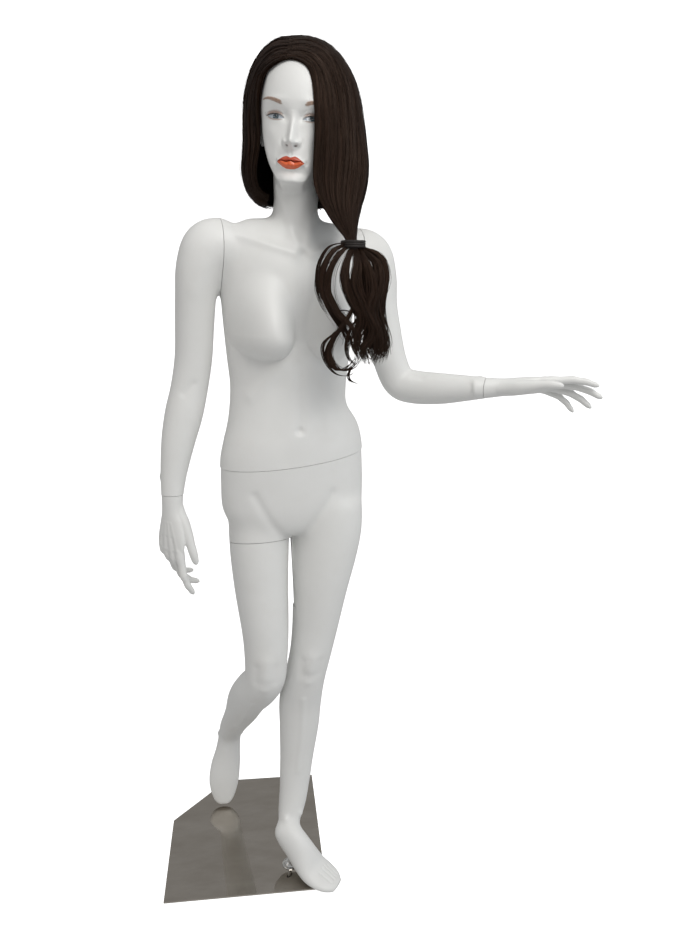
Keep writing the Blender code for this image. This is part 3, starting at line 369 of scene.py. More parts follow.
def emboss(obj, lines):
    """Raise, or with a negative height sink, soft ridges along lines of points."""
    points, normals = vertex_arrays(obj)
    shift = np.zeros(len(points))
    for line, spread, height in lines:
        gap = distance_to_line(points, line)
        shift += height * np.exp(-(gap / spread) ** 2)
    set_points(obj, points + normals * shift[:, None])


def refine(obj, inside, smooth):
    """Split the faces whose middles are inside, then even the new points out."""
    bm = bmesh.new()
    bm.from_mesh(obj.data)
    faces = [f for f in bm.faces if inside(f.calc_center_median())]
    edges = list({e for f in faces for e in f.edges})
    bmesh.ops.subdivide_edges(bm, edges=edges, cuts=1, use_grid_fill=True)
    verts = [v for v in bm.verts if inside(v.co)]
    for _ in range(smooth):
        bmesh.ops.smooth_vert(bm, verts=verts, factor=0.5, use_axis_x=True, use_axis_y=True,
                              use_axis_z=True)
    mesh = bpy.data.meshes.new(obj.data.name)
    bm.to_mesh(mesh)
    bm.free()
    old = obj.data
    obj.data = mesh
    bpy.data.meshes.remove(old)


def finished(obj, body, mat, nodes=(), sharp=40.0):
    """Shade, paint and mount a piece on its body."""
    obj.data.shade_smooth()
    obj.data.set_sharp_from_angle(angle=math.radians(sharp))
    obj.data.materials.clear()
    obj.data.materials.append(mat)
    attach(obj, body)
    if nodes:
        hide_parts(*nodes)


# ---------------------------------------------------------------- materials
class Graph:
    """Short hand for building one material's nodes."""

    def __init__(self, name):
        self.mat = bpy.data.materials.new(name)
        self.mat.use_nodes = True
        self.tree = self.mat.node_tree
        self.shader = self.tree.nodes["Principled BSDF"]
        self.place = self.node("ShaderNodeTexCoord").outputs["Object"]

    def node(self, kind, **values):
        made = self.tree.nodes.new(kind)
        for key, value in values.items():
            setattr(made, key, value)
        return made

    def join(self, source, target):
        self.tree.links.new(source, target)

    def noise(self, scale, detail=3.0, stretch=None, rough=0.55, source=None):
        made = self.node("ShaderNodeTexNoise")
        made.inputs["Scale"].default_value = scale
        made.inputs["Detail"].default_value = detail
        made.inputs["Roughness"].default_value = rough
        place = source or self.place
        if stretch:
            mapping = self.node("ShaderNodeMapping")
            mapping.inputs["Scale"].default_value = stretch
            self.join(place, mapping.inputs["Vector"])
            place = mapping.outputs["Vector"]
        self.join(place, made.inputs["Vector"])
        return made.outputs["Fac"]

    def ramp(self, source, stops):
        made = self.node("ShaderNodeValToRGB")
        ramp = made.color_ramp
        while len(ramp.elements) < len(stops):
            ramp.elements.new(0.5)
        for element, (at, colour) in zip(ramp.elements, stops):
            element.position = at
            element.color = (*colour, 1.0)
        self.join(source, made.inputs["Fac"])
        return made.outputs["Color"]

    def span(self, source, low, high, start=0.0, end=1.0):
        made = self.node("ShaderNodeMapRange")
        made.inputs["From Min"].default_value = start
        made.inputs["From Max"].default_value = end
        made.inputs["To Min"].default_value = low
        made.inputs["To Max"].default_value = high
        self.join(source, made.inputs["Value"])
        return made.outputs["Result"]

    def mix(self, factor, first, second):
        made = self.node("ShaderNodeMix", data_type="RGBA")
        self.join(factor, made.inputs["Factor"])
        for socket, value in (("A", first), ("B", second)):
            target = [s for s in made.inputs if s.name == socket and s.type == "RGBA"][0]
            if isinstance(value, tuple):
                target.default_value = (*value, 1.0)
            else:
                self.join(value, target)
        return [s for s in made.outputs if s.type == "RGBA"][0]

    def product(self, first, second):
        made = self.node("ShaderNodeMath", operation="MULTIPLY")
        self.join(first, made.inputs[0])
        self.join(second, made.inputs[1])
        return made.outputs[0]

    def bump(self, height, distance, strength=1.0, after=None):
        made = self.node("ShaderNodeBump")
        made.inputs["Distance"].default_value = distance
        made.inputs["Strength"].default_value = strength
        self.join(height, made.inputs["Height"])
        if after is not None:
            self.join(after, made.inputs["Normal"])
        return made.outputs["Normal"]

    def attribute(self, name):
        return self.node("ShaderNodeAttribute", attribute_name=name)

    def finish(self, colour, roughness, normal=None, **constants):
        self.join(colour, self.shader.inputs["Base Color"])
        self.join(roughness, self.shader.inputs["Roughness"])
        if normal is not None:
            self.join(normal, self.shader.inputs["Normal"])
        for key, value in constants.items():
            self.shader.inputs[key.replace("_", " ")].default_value = value
        return self.mat


def paint_colour(graph):
    """Off-white matt body paint: cloudy tone, faint scuffs and a slightly warm grime."""
    cloud = graph.noise(5.0, 4.0)
    base = graph.ramp(cloud, [(0.30, (0.765, 0.768, 0.752)), (0.70, (0.815, 0.818, 0.805))])
    grime = graph.noise(17.0, 6.0, rough=0.65)
    dirty = graph.span(grime, 0.0, 0.10, 0.52, 0.80)
    base = graph.mix(dirty, base, (0.60, 0.56, 0.50))
    scuff = graph.noise(60.0, 4.0, stretch=(1.0, 1.0, 0.18))
    return graph.mix(graph.span(scuff, 0.0, 0.07, 0.62, 0.75), base, (0.62, 0.61, 0.60))


def paint_finish(graph, colour, low=0.40, high=0.50):
    """Roughness and sprayed texture shared by the paint and what is painted on it."""
    patchy = graph.noise(9.0, 4.0)
    rough = graph.span(patchy, low, high, 0.3, 0.7)
    spray = graph.noise(900.0, 2.0)
    peel = graph.noise(140.0, 3.0)
    wave = graph.noise(14.0, 2.0)
    normal = graph.bump(wave, 0.0012, 0.25)
    normal = graph.bump(peel, 0.00025, 0.35, normal)
    normal = graph.bump(spray, 0.00006, 0.5, normal)
    return graph.finish(colour, rough, normal, Specular_IOR_Level=0.42)


def body_paint():
    graph = Graph("body_paint_matt")
    return paint_finish(graph, paint_colour(graph))


def tint_and_shade_paint(name, colour, low=0.36, high=0.46):
    """Body paint with a colour laid over it by a value stored on the mesh's points: painted makeup
    on the eyes and brows, painted shade in the nostrils.
    """
    graph = Graph(name)
    patchy = graph.noise(700.0, 3.0)
    strength = graph.product(graph.attribute("tint").outputs["Fac"],
                             graph.span(patchy, 0.86, 1.0, 0.3, 0.7))
    return paint_finish(graph, graph.mix(strength, paint_colour(graph), colour), low, high)


def lip_paint(name, dark, light, roughness):
    graph = Graph(name)
    crease = graph.noise(260.0, 3.0, stretch=(1.0, 1.0, 0.16))
    tone = graph.ramp(crease, [(0.3, dark), (0.7, light)])
    # Painted shade: where the stored value is high the lips darken to this deep red, along the
    # mouth crease and at the corners.
    shade = graph.attribute("tint").outputs["Fac"]
    colour = graph.mix(shade, tone, (0.16, 0.022, 0.010))
    rough = graph.span(graph.noise(90.0), roughness - 0.05, roughness + 0.07, 0.3, 0.7)
    return graph.finish(colour, rough, graph.bump(crease, 0.00035, 0.5), Coat_Weight=0.35,
                        Coat_Roughness=0.14)


def eye_paint(name, inner, outer, roughness, streak):
    """Painted eye: colour runs from inner to outer by a value stored on the mesh's points, with
    streaks. On the eye white the outer colour is a painted shade.
    """
    graph = Graph(name)
    tint = graph.attribute("tint")
    grain = graph.noise(streak, 3.0)
    tone = graph.mix(tint.outputs["Fac"], inner, outer)
    colour = graph.mix(graph.span(grain, 0.0, 0.35, 0.35, 0.7), tone, outer)
    rough = graph.span(graph.noise(60.0), roughness - 0.04, roughness + 0.05, 0.3, 0.7)
    return graph.finish(colour, rough, graph.bump(grain, 0.00008, 0.4), Coat_Weight=0.6,
                        Coat_Roughness=0.08)


def metal(name, dark, light, low, high, scratch, distance=0.00012):
    """Bare or plated metal with smudges, fine scratches and uneven polish."""
    graph = Graph(name)
    smudge = graph.noise(22.0, 5.0, rough=0.6)
    colour = graph.ramp(smudge, [(0.35, dark), (0.68, light)])
    lines = graph.noise(scratch, 4.0, stretch=(1.0, 0.05, 0.05))
    rough = graph.span(smudge, low, high, 0.35, 0.75)
    normal = graph.bump(lines, distance, 0.35)
    return graph.finish(colour, rough, normal, Metallic=1.0)


def mirror_plate():
    """Polished dark stainless sheet: reflections stay sharp, with faint wiped smears."""
    graph = Graph("mirror_plate")
    smear = graph.noise(7.0, 6.0, stretch=(1.0, 3.0, 1.0), rough=0.62)
    dust = graph.noise(420.0, 2.0)
    colour = graph.ramp(smear, [(0.35, (0.42, 0.385, 0.34)), (0.70, (0.50, 0.465, 0.42))])
    speck = graph.span(dust, 0.0, 0.5, 0.70, 0.80)
    colour = graph.mix(speck, colour, (0.34, 0.33, 0.31))
    rough = graph.span(smear, 0.015, 0.075, 0.40, 0.75)
    ripple = graph.noise(9.0, 2.0)
    return graph.finish(colour, rough, graph.bump(ripple, 0.0006, 0.05), Metallic=1.0)


def wood_board():
    graph = Graph("birch_board")
    grain = graph.noise(38.0, 6.0, stretch=(1.0, 0.12, 1.0))
    fine = graph.noise(240.0, 3.0, stretch=(1.0, 0.06, 1.0))
    colour = graph.ramp(grain, [(0.25, (0.30, 0.17, 0.08)), (0.75, (0.55, 0.38, 0.21))])
    colour = graph.mix(graph.span(fine, 0.0, 0.4, 0.45, 0.8), colour, (0.24, 0.13, 0.06))
    rough = graph.span(grain, 0.55, 0.78)
    return graph.finish(colour, rough, graph.bump(fine, 0.0004, 0.6))


def foam_pad():
    graph = Graph("foam_pad")
    cells = graph.node("ShaderNodeTexVoronoi")
    cells.inputs["Scale"].default_value = 900.0
    graph.join(graph.place, cells.inputs["Vector"])
    colour = graph.ramp(graph.noise(30.0), [(0.3, (0.022,) * 3), (0.7, (0.05,) * 3)])
    rough = graph.span(graph.noise(70.0), 0.80, 0.96)
    return graph.finish(colour, rough, graph.bump(cells.outputs["Distance"], 0.0008, 0.8))


def hair_material(name, dark, light, painted_sheen, roughness):
    """Fibres run along the mesh's fibre attribute: across, along and a random shift."""
    graph = Graph(name)
    fibre = graph.attribute("fibre").outputs["Vector"]
    strands = graph.noise(1.0, 3.0, stretch=(16.0, 1.2, 40.0), source=fibre)
    fine = graph.noise(1.0, 2.0, stretch=(55.0, 2.5, 70.0), source=fibre)
    lock = graph.noise(1.0, 1.0, stretch=(0.5, 0.4, 9.0), source=fibre)
    # The brightest colour is a painted sheen: light streaks along the fibres that stand in for
    # highlights.
    colour = graph.ramp(strands, [(0.28, dark), (0.60, light), (0.82, painted_sheen)])
    colour = graph.mix(graph.span(lock, 0.0, 0.75, 0.35, 0.70), colour, dark)
    rough = graph.span(fine, roughness - 0.08, roughness + 0.12, 0.3, 0.7)
    normal = graph.bump(strands, 0.0009, 0.8)
    normal = graph.bump(fine, 0.0004, 0.6, normal)
    return graph.finish(colour, rough, normal, Specular_IOR_Level=0.28,
                        Specular_Tint=(0.85, 0.60, 0.46, 1.0))


def cap_netting():
    graph = Graph("cap_netting")
    cells = graph.node("ShaderNodeTexVoronoi", feature="DISTANCE_TO_EDGE")
    cells.inputs["Scale"].default_value = 620.0
    graph.join(graph.place, cells.inputs["Vector"])
    thread = graph.span(cells.outputs["Distance"], 0.0, 1.0, 0.02, 0.16)
    colour = graph.mix(thread, (0.030, 0.022, 0.018), (0.010, 0.008, 0.007))
    return graph.finish(colour, graph.span(thread, 0.70, 0.92), graph.bump(thread, -0.0005, 0.8))


def tie_cloth():
    graph = Graph("tie_cloth")
    weave = graph.noise(420.0, 3.0, stretch=(1.0, 1.0, 2.5))
    colour = graph.ramp(weave, [(0.3, (0.008, 0.006, 0.005)), (0.7, (0.024, 0.017, 0.014))])
    return graph.finish(colour, graph.span(weave, 0.55, 0.8), graph.bump(weave, 0.0005, 0.8))


def lash_fibre():
    graph = Graph("lash_fibre")
    tone = graph.noise(300.0)
    colour = graph.ramp(tone, [(0.3, (0.010, 0.007, 0.005)), (0.7, (0.030, 0.018, 0.012))])
    return graph.finish(colour, graph.span(tone, 0.45, 0.65), graph.bump(tone, 0.0001, 0.3))


PAINT = body_paint()
STEEL = metal("zinc_steel", (0.40, 0.40, 0.39), (0.62, 0.61, 0.59), 0.26, 0.46, 420.0)
CHROME = metal("chrome_plate", (0.62, 0.62, 0.62), (0.76, 0.76, 0.75), 0.05, 0.14, 300.0, 0.00003)
MIRROR = mirror_plate()
BIRCH = wood_board()
FOAM = foam_pad()
# The third colour of each hair material is its painted sheen.
HAIR_FIBRE = hair_material("hair_fibre_dark", (0.0040, 0.0021, 0.0016), (0.0190, 0.0092, 0.0060),
                           (0.110, 0.054, 0.032), 0.33)
# Darker, duller copy of the hair fibre: painted shade for the hair deep under the locks.
HAIR_UNDER_SHADED = hair_material("hair_fibre_under_shaded", (0.0035, 0.0024, 0.0020), (0.0080, 0.0050, 0.0040),
                           (0.014, 0.008, 0.006), 0.52)


# ---------------------------------------------------------------- body shapes
def arm_stations(stations):
    """Arms are lofted with Y as their side, so their width and depths swap."""
    return [(x, y, z, (front + back) / 2, width, width)
            for x, y, z, width, front, back in stations]


def draw_torso(bm):
    limb(bm, TORSO, CHEST_SIDE, sides=96, level=True)


def draw_seat(bm):
    ellipsoid(bm, (0.056, 0.078, 0.925), (0.074, 0.056, 0.074))
    ellipsoid(bm, (0.152, 0.084, 0.930), (0.074, 0.056, 0.074))


def draw_head(bm):
    limb(bm, NECK, CHEST_SIDE, sides=64)
    limb(bm, JAW, HEAD_SIDE, sides=64)
    ellipsoid(bm, CRANIUM_AT, CRANIUM_SIZE, HEAD_YAW)
    for sign in (-1.0, 1.0):
        ear = CRANIUM_AT + HEAD_SIDE * (0.064 * sign) + Vector((0.004 * sign, 0.004, -0.038))
        ellipsoid(bm, ear, (0.008, 0.016, 0.028), HEAD_YAW)


def draw_upper(bm):
    draw_torso(bm)
    draw_head(bm)
    limb(bm, arm_stations(RIGHT_ARM[:5]), Y_SIDE, facing=RIGHT_ARM_FACING)
    limb(bm, arm_stations(LEFT_ARM[:5]), Y_SIDE, facing=LEFT_ARM_FACING)


def draw_pelvis(bm):
    draw_torso(bm)
    draw_seat(bm)


def draw_lower(bm):
    draw_pelvis(bm)
    limb(bm, LEFT_LEG, X_SIDE)
    limb(bm, LEFT_FOOT, LEFT_FOOT_SIDE)
    limb(bm, RIGHT_LEG[:4], X_SIDE)


def draw_right_leg(bm):
    draw_pelvis(bm)
    limb(bm, RIGHT_LEG, X_SIDE)
    limb(bm, RIGHT_FOOT, X_SIDE)


def relax(obj, weight, rounds):
    """Even the surface out, each point by its own weight."""
    points, _ = vertex_arrays(obj)
    edges = np.empty(len(obj.data.edges) * 2, np.int32)
    obj.data.edges.foreach_get("vertices", edges)
    a, b = edges.reshape(-1, 2).T
    count = len(points)
    valence = np.bincount(a, minlength=count) + np.bincount(b, minlength=count)
    share = weight(points)[:, None] * 0.5
    for _ in range(rounds):
        total = np.empty_like(points)
        for k in range(3):
            total[:, k] = (np.bincount(a, points[b, k], count)
                           + np.bincount(b, points[a, k], count))
        mean = total / np.maximum(valence, 1)[:, None]
        points = points + share * (mean - points)
    set_points(obj, points)


def ball(points, centre, radius):
    gap = np.linalg.norm(points - np.array(centre), axis=1)
    return np.clip(1.6 - 1.6 * gap / radius, 0.0, 1.0)


def on_skin(obj, line, count=9):
    """The line's points, spaced closer and moved onto the object's surface."""
    out = []
    for row in spline(line, count) if len(line) > 1 else line:
        _, place, _, _ = obj.closest_point_on_mesh(Vector(row))
        out.append(tuple(place))
    return out


def sculpt(obj, lines):
    """Emboss lines that are given roughly, after moving them onto the surface."""
    emboss(obj, [(on_skin(obj, line), spread, height) for line, spread, height in lines])


def ease_shoulders(obj):
    places = ((-0.040, 0.005, 1.470), (0.225, 0.060, 1.465))
    relax(obj, lambda p: np.maximum(ball(p, places[0], 0.13), ball(p, places[1], 0.13)), 60)


LEFT_ANKLE_AT = (0.110, -0.078, 0.126)
RIGHT_ANKLE_AT = (-0.045, 0.190, 0.170)


def ease_hips(obj):
    relax(obj, lambda p: ball(p, (0.104, 0.030, 0.890), 0.36), 130)


# Breasts: place across the chest and height.
BREASTS = ((-0.0700, 1.304), (0.0720, 1.304))
BREAST_HALF_WIDTH = 0.0640
BREAST_DOWN = 0.0560
BREAST_UP = 0.1250
BREAST_DEPTH = 0.0560
CHEST_AT = Vector((0.087, 0.031, 1.306))


def swell_bust(obj):
    """Push the chest's front out into two rounded forms with a firm lower edge."""
    points, normals = vertex_arrays(obj)
    offset = points - np.array(CHEST_AT)
    across = offset @ np.array(CHEST_SIDE)
    forward = offset @ np.array(CHEST_FRONT)
    shift = np.zeros(len(points))
    for place, height in BREASTS:
        outward = np.sign(place) * (across - place)
        half = np.where(outward > 0, BREAST_HALF_WIDTH * 1.05, BREAST_HALF_WIDTH * 0.95)
        x = (across - place) / half
        rise = points[:, 2] - height
        z = np.where(rise < 0, rise / BREAST_DOWN, rise / BREAST_UP)
        reach = np.sqrt(x * x + z * z)
        upward = np.clip(0.5 + 0.5 * z / np.maximum(reach, 1e-6), 0.0, 1.0)
        power = 0.62 + 1.55 * upward ** 1.3
        shift += BREAST_DEPTH * np.clip(1.0 - reach ** 2, 0.0, 1.0) ** power
    facing = np.clip((normals @ np.array(CHEST_FRONT)) * 3.0 + 0.4, 0.0, 1.0)
    shift *= facing * (forward > 0)
    set_points(obj, points + shift[:, None] * np.array(CHEST_FRONT))


UPPER_LINES = metres([
    ([(113, -100, 1109)], 8, -6.8),
    ([(113, -100, 1122)], 10, -1.6),
    ([(113, -100, 1098)], 11, 1.4),
    ([(110, -50, 1463)], 11, -6.5),
    ([(94, -54, 1462), (46, -52, 1474), (6, -36, 1480), (-20, -24, 1484)], 9, 3),
    ([(128, -50, 1462), (168, -40, 1476), (204, -16, 1484)], 9, 3),
    ([(66, -40, 1486), (20, -26, 1494)], 14, -2.2),
    ([(146, -30, 1486), (186, -6, 1494)], 14, -2.2),
    ([(104, -46, 1470), (80, -34, 1520), (56, -10, 1580)], 9.5, 2.6),
    ([(116, -46, 1470), (128, -24, 1520), (134, 4, 1580)], 9.5, 2.6),
    ([(108, -60, 1440), (110, -70, 1360), (106, -75, 1290)], 13, -3),
    ([(108, -80, 1240), (112, -80, 1180), (114, -85, 1130)], 11, -2.6),
    ([(80, -80, 1250), (40, -70, 1205), (10, -50, 1170)], 14, 2.8),
    ([(135, -75, 1250), (170, -60, 1205), (196, -40, 1170)], 14, 2.8),
    ([(70, -85, 1190), (66, -90, 1100), (80, -90, 1050)], 24, -1.6),
    ([(156, -80, 1190), (162, -85, 1100), (150, -85, 1050)], 24, -1.6),
    ([(88, 120, 1440), (86, 125, 1330), (90, 110, 1200), (96, 105, 1080),
      (98, 110, 1030)], 21, -4.2),
    ([(30, 110, 1430), (22, 115, 1370), (34, 120, 1310)], 20, 5),
    ([(144, 130, 1430), (156, 135, 1370), (142, 135, 1310)], 20, 5),
    ([(50, 110, 1150), (58, 110, 1060)], 20, 3),
    ([(130, 115, 1150), (136, 115, 1060)], 20, 3)
])
LOWER_LINES = metres([
    ([(20, -60, 960), (50, -60, 905), (82, -50, 855)], 11, -3),
    ([(188, -60, 960), (152, -60, 905), (118, -50, 855)], 11, -3),
    ([(102, 140, 985), (104, 150, 930), (104, 120, 870)], 8.5, -8),
    ([(50, 110, 1010)], 12, -3),
    ([(154, 112, 1010)], 12, -3),
    ([(150, -75, 560), (147, -78, 530)], 17, 3.2),
    ([(128, -66, 548), (130, -66, 515)], 11, -2),
    ([(171, -66, 548), (166, -66, 515)], 11, -2),
    ([(144, -70, 492)], 12, 2.4),
    ([(134, -60, 440), (134, -56, 340), (126, -60, 240)], 7, 2),
    ([(146, 36, 520), (140, 40, 480)], 10, -3),
    ([(108, -12, 160), (110, -16, 240)], 7, 2.4),
    ([(136, -90, 134)], 8.5, 4.8),
    ([(92, -104, 136)], 8.5, 4.2),
    ([(94, -40, 120)], 8, -2)
])
RIGHT_LEG_LINES = metres([
    ([(44, -105, 570), (43, -106, 535)], 17, 3.2),
    ([(22, -95, 555), (22, -95, 520)], 11, -2),
    ([(66, -95, 555), (64, -95, 520)], 11, -2),
    ([(40, -96, 500)], 12, 2.4),
    ([(14, -50, 440), (0, 0, 370), (-20, 70, 290)], 7, 2),
    ([(-76, 180, 176)], 8, 4.4),
    ([(-14, 178, 180)], 8, 4.4),
    ([(0, 88, 940), (20, 90, 850)], 12, -1.6)
])


def toe_lines(at, tip, side, spacing, height):
    """Grooves that part the toes, as wanted depth lines from the ball of the foot."""
    out = []
    for place in (-0.011, 0.003, 0.014, 0.024):
        offset = side * place * spacing
        out.append(([tuple(at + offset), tuple(tip + offset * 0.85)], 0.0022, -height))
    return out


def right_thigh_cutter(bm):
    """Everything under the thigh seam on the right leg's side of the crotch."""
    across, _, _ = frame_of(-THIGH_UP, X_SIDE)
    width = 0.30
    corner = THIGH_AT + THIGH_UP * SEAM_HALF + across * (0.0730 - width / 2)
    slab(bm, corner, -THIGH_UP, X_SIDE, (width, 0.40, 0.17))


def above(point, up):
    return lambda bm: slab(bm, point - up * SEAM_HALF, up, X_SIDE, (2.0, 2.0, 2.0))


def below(point, up):
    return lambda bm: slab(bm, point + up * SEAM_HALF, -up, X_SIDE, (2.0, 2.0, 2.0))


def shoulder_cutter(at, out):
    def build(bm):
        centre = at + out * -SEAM_HALF + Vector((0.0, 0.0, -0.02))
        slab(bm, centre, out, Y_SIDE, (0.36, 0.30, 0.30))
    return build


def socket_bore(bm):
    """Hole for the rod, from under the sole up to the top of its socket."""
    low, high = (Vector(corner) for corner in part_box("rod_socket"))
    middle = (low + high) / 2
    skin(bm, [ring_points(Vector((middle.x, middle.y, z)), UP, X_SIDE, (ROD_HOLE,) * 3, 32)
              for z in (low.z - 0.04, high.z + 0.0005)])


def make_lower_shell():
    shell = united("lower_body", draw_lower, 0.0032, 14)
    ease_hips(shell)
    relax(shell, lambda p: ball(p, LEFT_ANKLE_AT, 0.105), 90)
    sculpt(shell, LOWER_LINES)
    ahead = LEFT_FOOT_AHEAD
    ball_of_foot = Vector((0.180, -0.172, 0.046))
    refine(shell, lambda c: c.z < 0.075 and (c.x * 0.77 - c.y * 0.64) > 0.225, 3)
    sculpt(shell, toe_lines(ball_of_foot, ball_of_foot + ahead * 0.036 - UP * 0.010,
                            LEFT_FOOT_SIDE, 1.0, 0.0016))
    cut(shell, above(WAIST_AT, WAIST_UP))
    cut(shell, right_thigh_cutter)
    cut(shell, lambda bm: mouth(bm, WAIST_AT, -WAIST_UP, CHEST_SIDE, WAIST_MOUTH))
    cut(shell, lambda bm: mouth(bm, THIGH_AT, THIGH_UP, X_SIDE, THIGH_MOUTH))
    cut(shell, socket_bore)
    return shell


def make_right_leg():
    shell = united("right_leg", draw_right_leg, 0.0032, 14)
    ease_hips(shell)
    relax(shell, lambda p: ball(p, RIGHT_ANKLE_AT, 0.085), 60)
    sculpt(shell, RIGHT_LEG_LINES)
    refine(shell, lambda c: c.z < 0.060, 3)
    cut(shell, above(THIGH_AT, THIGH_UP))
    cut(shell, lambda bm: slab(bm, Vector((0.0940, 0, 0.95)), X_SIDE, Y_SIDE, (2, 0.5, 2)))
    cut(shell, lambda bm: mouth(bm, THIGH_AT, -THIGH_UP, X_SIDE, THIGH_MOUTH))
    return shell


def make_arm(name, stations, facing, shoulder, out, wrist, hand_out, hand, lines):
    def draw(bm):
        limb(bm, TORSO[7:], CHEST_SIDE, sides=96, level=True)
        limb(bm, arm_stations(stations), Y_SIDE, facing=facing)
        hand.draw_palm(bm, WRIST_SECTION)
    shell = united(name, draw, 0.0030, 12)
    ease_shoulders(shell)
    sculpt(shell, lines)
    cut(shell, lambda bm: slab(bm, shoulder + out * SEAM_HALF, -out, Y_SIDE, (2, 2, 2)))
    cut(shell, lambda bm: slab(bm, wrist - hand_out * SEAM_HALF, hand_out, Y_SIDE,
                               (0.2, 0.2, 0.3)))
    cut(shell, lambda bm: mouth(bm, shoulder, out, Y_SIDE, SHOULDER_MOUTH))
    cut(shell, lambda bm: mouth(bm, wrist, -hand_out, Y_SIDE, WRIST_MOUTH))
    return shell


def hand_frame(along, thumb):
    axis = along.normalized()
    side = (thumb - axis * thumb.dot(axis)).normalized()
    return axis, side


# Reach, sideways place, height, half width, half thickness above and below.
PALM = metres([
    (36, 0, 0, 25, 18.5, 19), (62, 1, 0, 32, 16.5, 18), (92, 1, 1, 38, 14, 15.5),
    (116, 0, 1, 38.5, 11.5, 13), (134, 0, 0, 35, 7.5, 8.5)
])
THUMB = metres([
    (14, 6, -2, 15, 14, 15), (42, 13, -5, 17, 13.5, 16.5), (68, 24, -9, 18, 12.5, 16),
    (90, 36, -12, 13.5, 11, 13), (108, 44, -14, 10.2, 9.6, 10.4), (128, 50, -17, 9.8, 8.8, 9.4),
    (146, 53, -21, 7.8, 6, 6.8), (152, 54, -23, 3, 2.4, 2.6)
])
THUMB_NAIL = metres((140, 52, -19.5))


class Hand:
    """A hand that starts at its wrist seam. Reach runs to the fingers, side to the thumb."""

    def __init__(self, origin, along, thumb, back, curls, spread):
        self.origin = origin
        self.along, self.thumb = hand_frame(along, thumb)
        normal = self.along.cross(self.thumb)
        self.back = normal if normal.dot(back) > 0 else -normal
        self.curls = curls
        self.spread = spread
        self.tips = []

    def at(self, reach, side, height):
        return self.origin + self.along * reach + self.thumb * side + self.back * height

    def row(self, reach, side, height, width, over, under):
        return (*self.at(reach, side, height), width, over, under)

    def draw_palm(self, bm, wrist):
        rows = [self.row(-0.030, 0.0, 0.0, *wrist), self.row(0.0, 0.0, 0.0, *wrist)]
        rows += [self.row(*row) for row in PALM]
        limb(bm, rows, self.thumb, facing=self.back)

    def draw_finger(self, bm, number):
        reach, side, splay, bones, radius = FINGERS[number]
        aim = math.radians(splay * self.spread)
        heading = self.along * math.cos(aim) + self.thumb * math.sin(aim)
        root, place = self.at(reach - 0.034, side * 0.92, 0.0), self.at(reach - 0.004, side, 0.0)
        rows = [(*root, radius * 0.8, radius * 0.7, radius * 0.7), (*place, radius, radius, radius)]
        bend = 0.0
        thickness = radius
        for bone, curl in zip((bones[0] + 0.004, bones[1], bones[2]), self.curls[number]):
            bend += math.radians(curl)
            step = heading * math.cos(bend) - self.back * math.sin(bend)
            thickness *= 0.88
            rows.append((*(place + step * bone * 0.5), thickness * 0.97, thickness * 0.93,
                         thickness * 0.97))
            place = place + step * bone
            rows.append((*place, thickness, thickness * 0.96, thickness * 0.96))
        over = self.back * math.cos(bend) + heading * math.sin(bend)
        self.tips.append((place - step * 0.006, step, over, thickness))
        rows[-1] = (*(place - step * 0.003), thickness * 0.92, thickness * 0.80, thickness * 0.9)
        rows.append((*(place + step * 0.005), 0.0030, 0.0022, 0.0026))
        limb(bm, rows, self.thumb, sides=24, count=40, facing=self.back)

    def draw_thumb(self, bm):
        joint, end = (self.at(*row[:3]) for row in THUMB[-3:-1])
        self.tips.append((self.at(*THUMB_NAIL), (end - joint).normalized(), self.back, 0.0086))
        limb(bm, [self.row(*row) for row in THUMB], self.thumb, sides=24, count=40,
             facing=self.back)

    def draw(self, bm, wrist):
        self.draw_palm(bm, wrist)
        for number in range(len(FINGERS)):
            self.draw_finger(bm, number)
        self.draw_thumb(bm)

    def lines(self):
        """Knuckles, tendons, the partings between fingers and the palm's pad and hollow, as lines
        to emboss.
        """
        out = []
        for reach, side, *_ in FINGERS:
            knuckle = tuple(self.at(reach - 0.016, side, 0.012))
            out.append(([knuckle], 0.0058, 0.0010))
            root = tuple(self.at(0.060, side * 0.45, 0.014))
            out.append(([root, tuple(self.at(0.095, side * 0.8, 0.013)), knuckle], 0.0032, 0.0007))
        for (_, side, *_), (_, beyond, *_) in zip(FINGERS, FINGERS[1:]):
            gap = tuple(self.at(0.116, (side + beyond) / 2, 0.012))
            far = tuple(self.at(0.094, (side + beyond) / 2 * 0.85, 0.013))
            out.append(([far, gap], 0.0034, -0.0012))
        out.append(([tuple(self.at(0.060, 0.020, -0.016)), tuple(self.at(0.090, 0.030, -0.016))],
                    0.0110, 0.0018))
        out.append(([tuple(self.at(0.080, 0.002, -0.017))], 0.0120, -0.0022))
        return out

    def nails(self):
        out = []
        for place, step, over, thickness in self.tips:
            across = step.cross(over).normalized()
            width = thickness * 0.62
            centre = place + over * thickness * 0.9
            rim = [centre + across * width - step * 0.003, centre + across * width + step * 0.005,
                   centre - across * width + step * 0.005, centre - across * width - step * 0.003,
                   centre + across * width - step * 0.003]
            line = [tuple(p) for p in rim]
            out.append((line[2:4] + [line[4]], 0.0007, -0.0005))
            out.append((line[0:2], 0.0007, -0.0005))
            ridge = [tuple(centre + step * 0.001), tuple(centre + step * 0.004)]
            out.append((ridge, 0.0026, 0.0005))
        return out


RIGHT_HAND = Hand(R_WRIST_AT, Vector((-0.03, -0.11, -1.0)), Vector((0.74, -0.67, 0.05)),
                  Vector((-0.7, -0.7, 0.0)),
                  ((6, 16, 10), (24, 28, 16), (31, 30, 16), (37, 34, 20)), 1.0)
LEFT_HAND = Hand(L_WRIST_AT, Vector((0.97, -0.20, 0.10)), Vector((-0.1, -0.86, 0.50)),
                 Vector((0.0, 0.5, 0.9)),
                 ((2, 12, 10), (10, 14, 10), (18, 16, 12), (24, 20, 14)), 0.6)


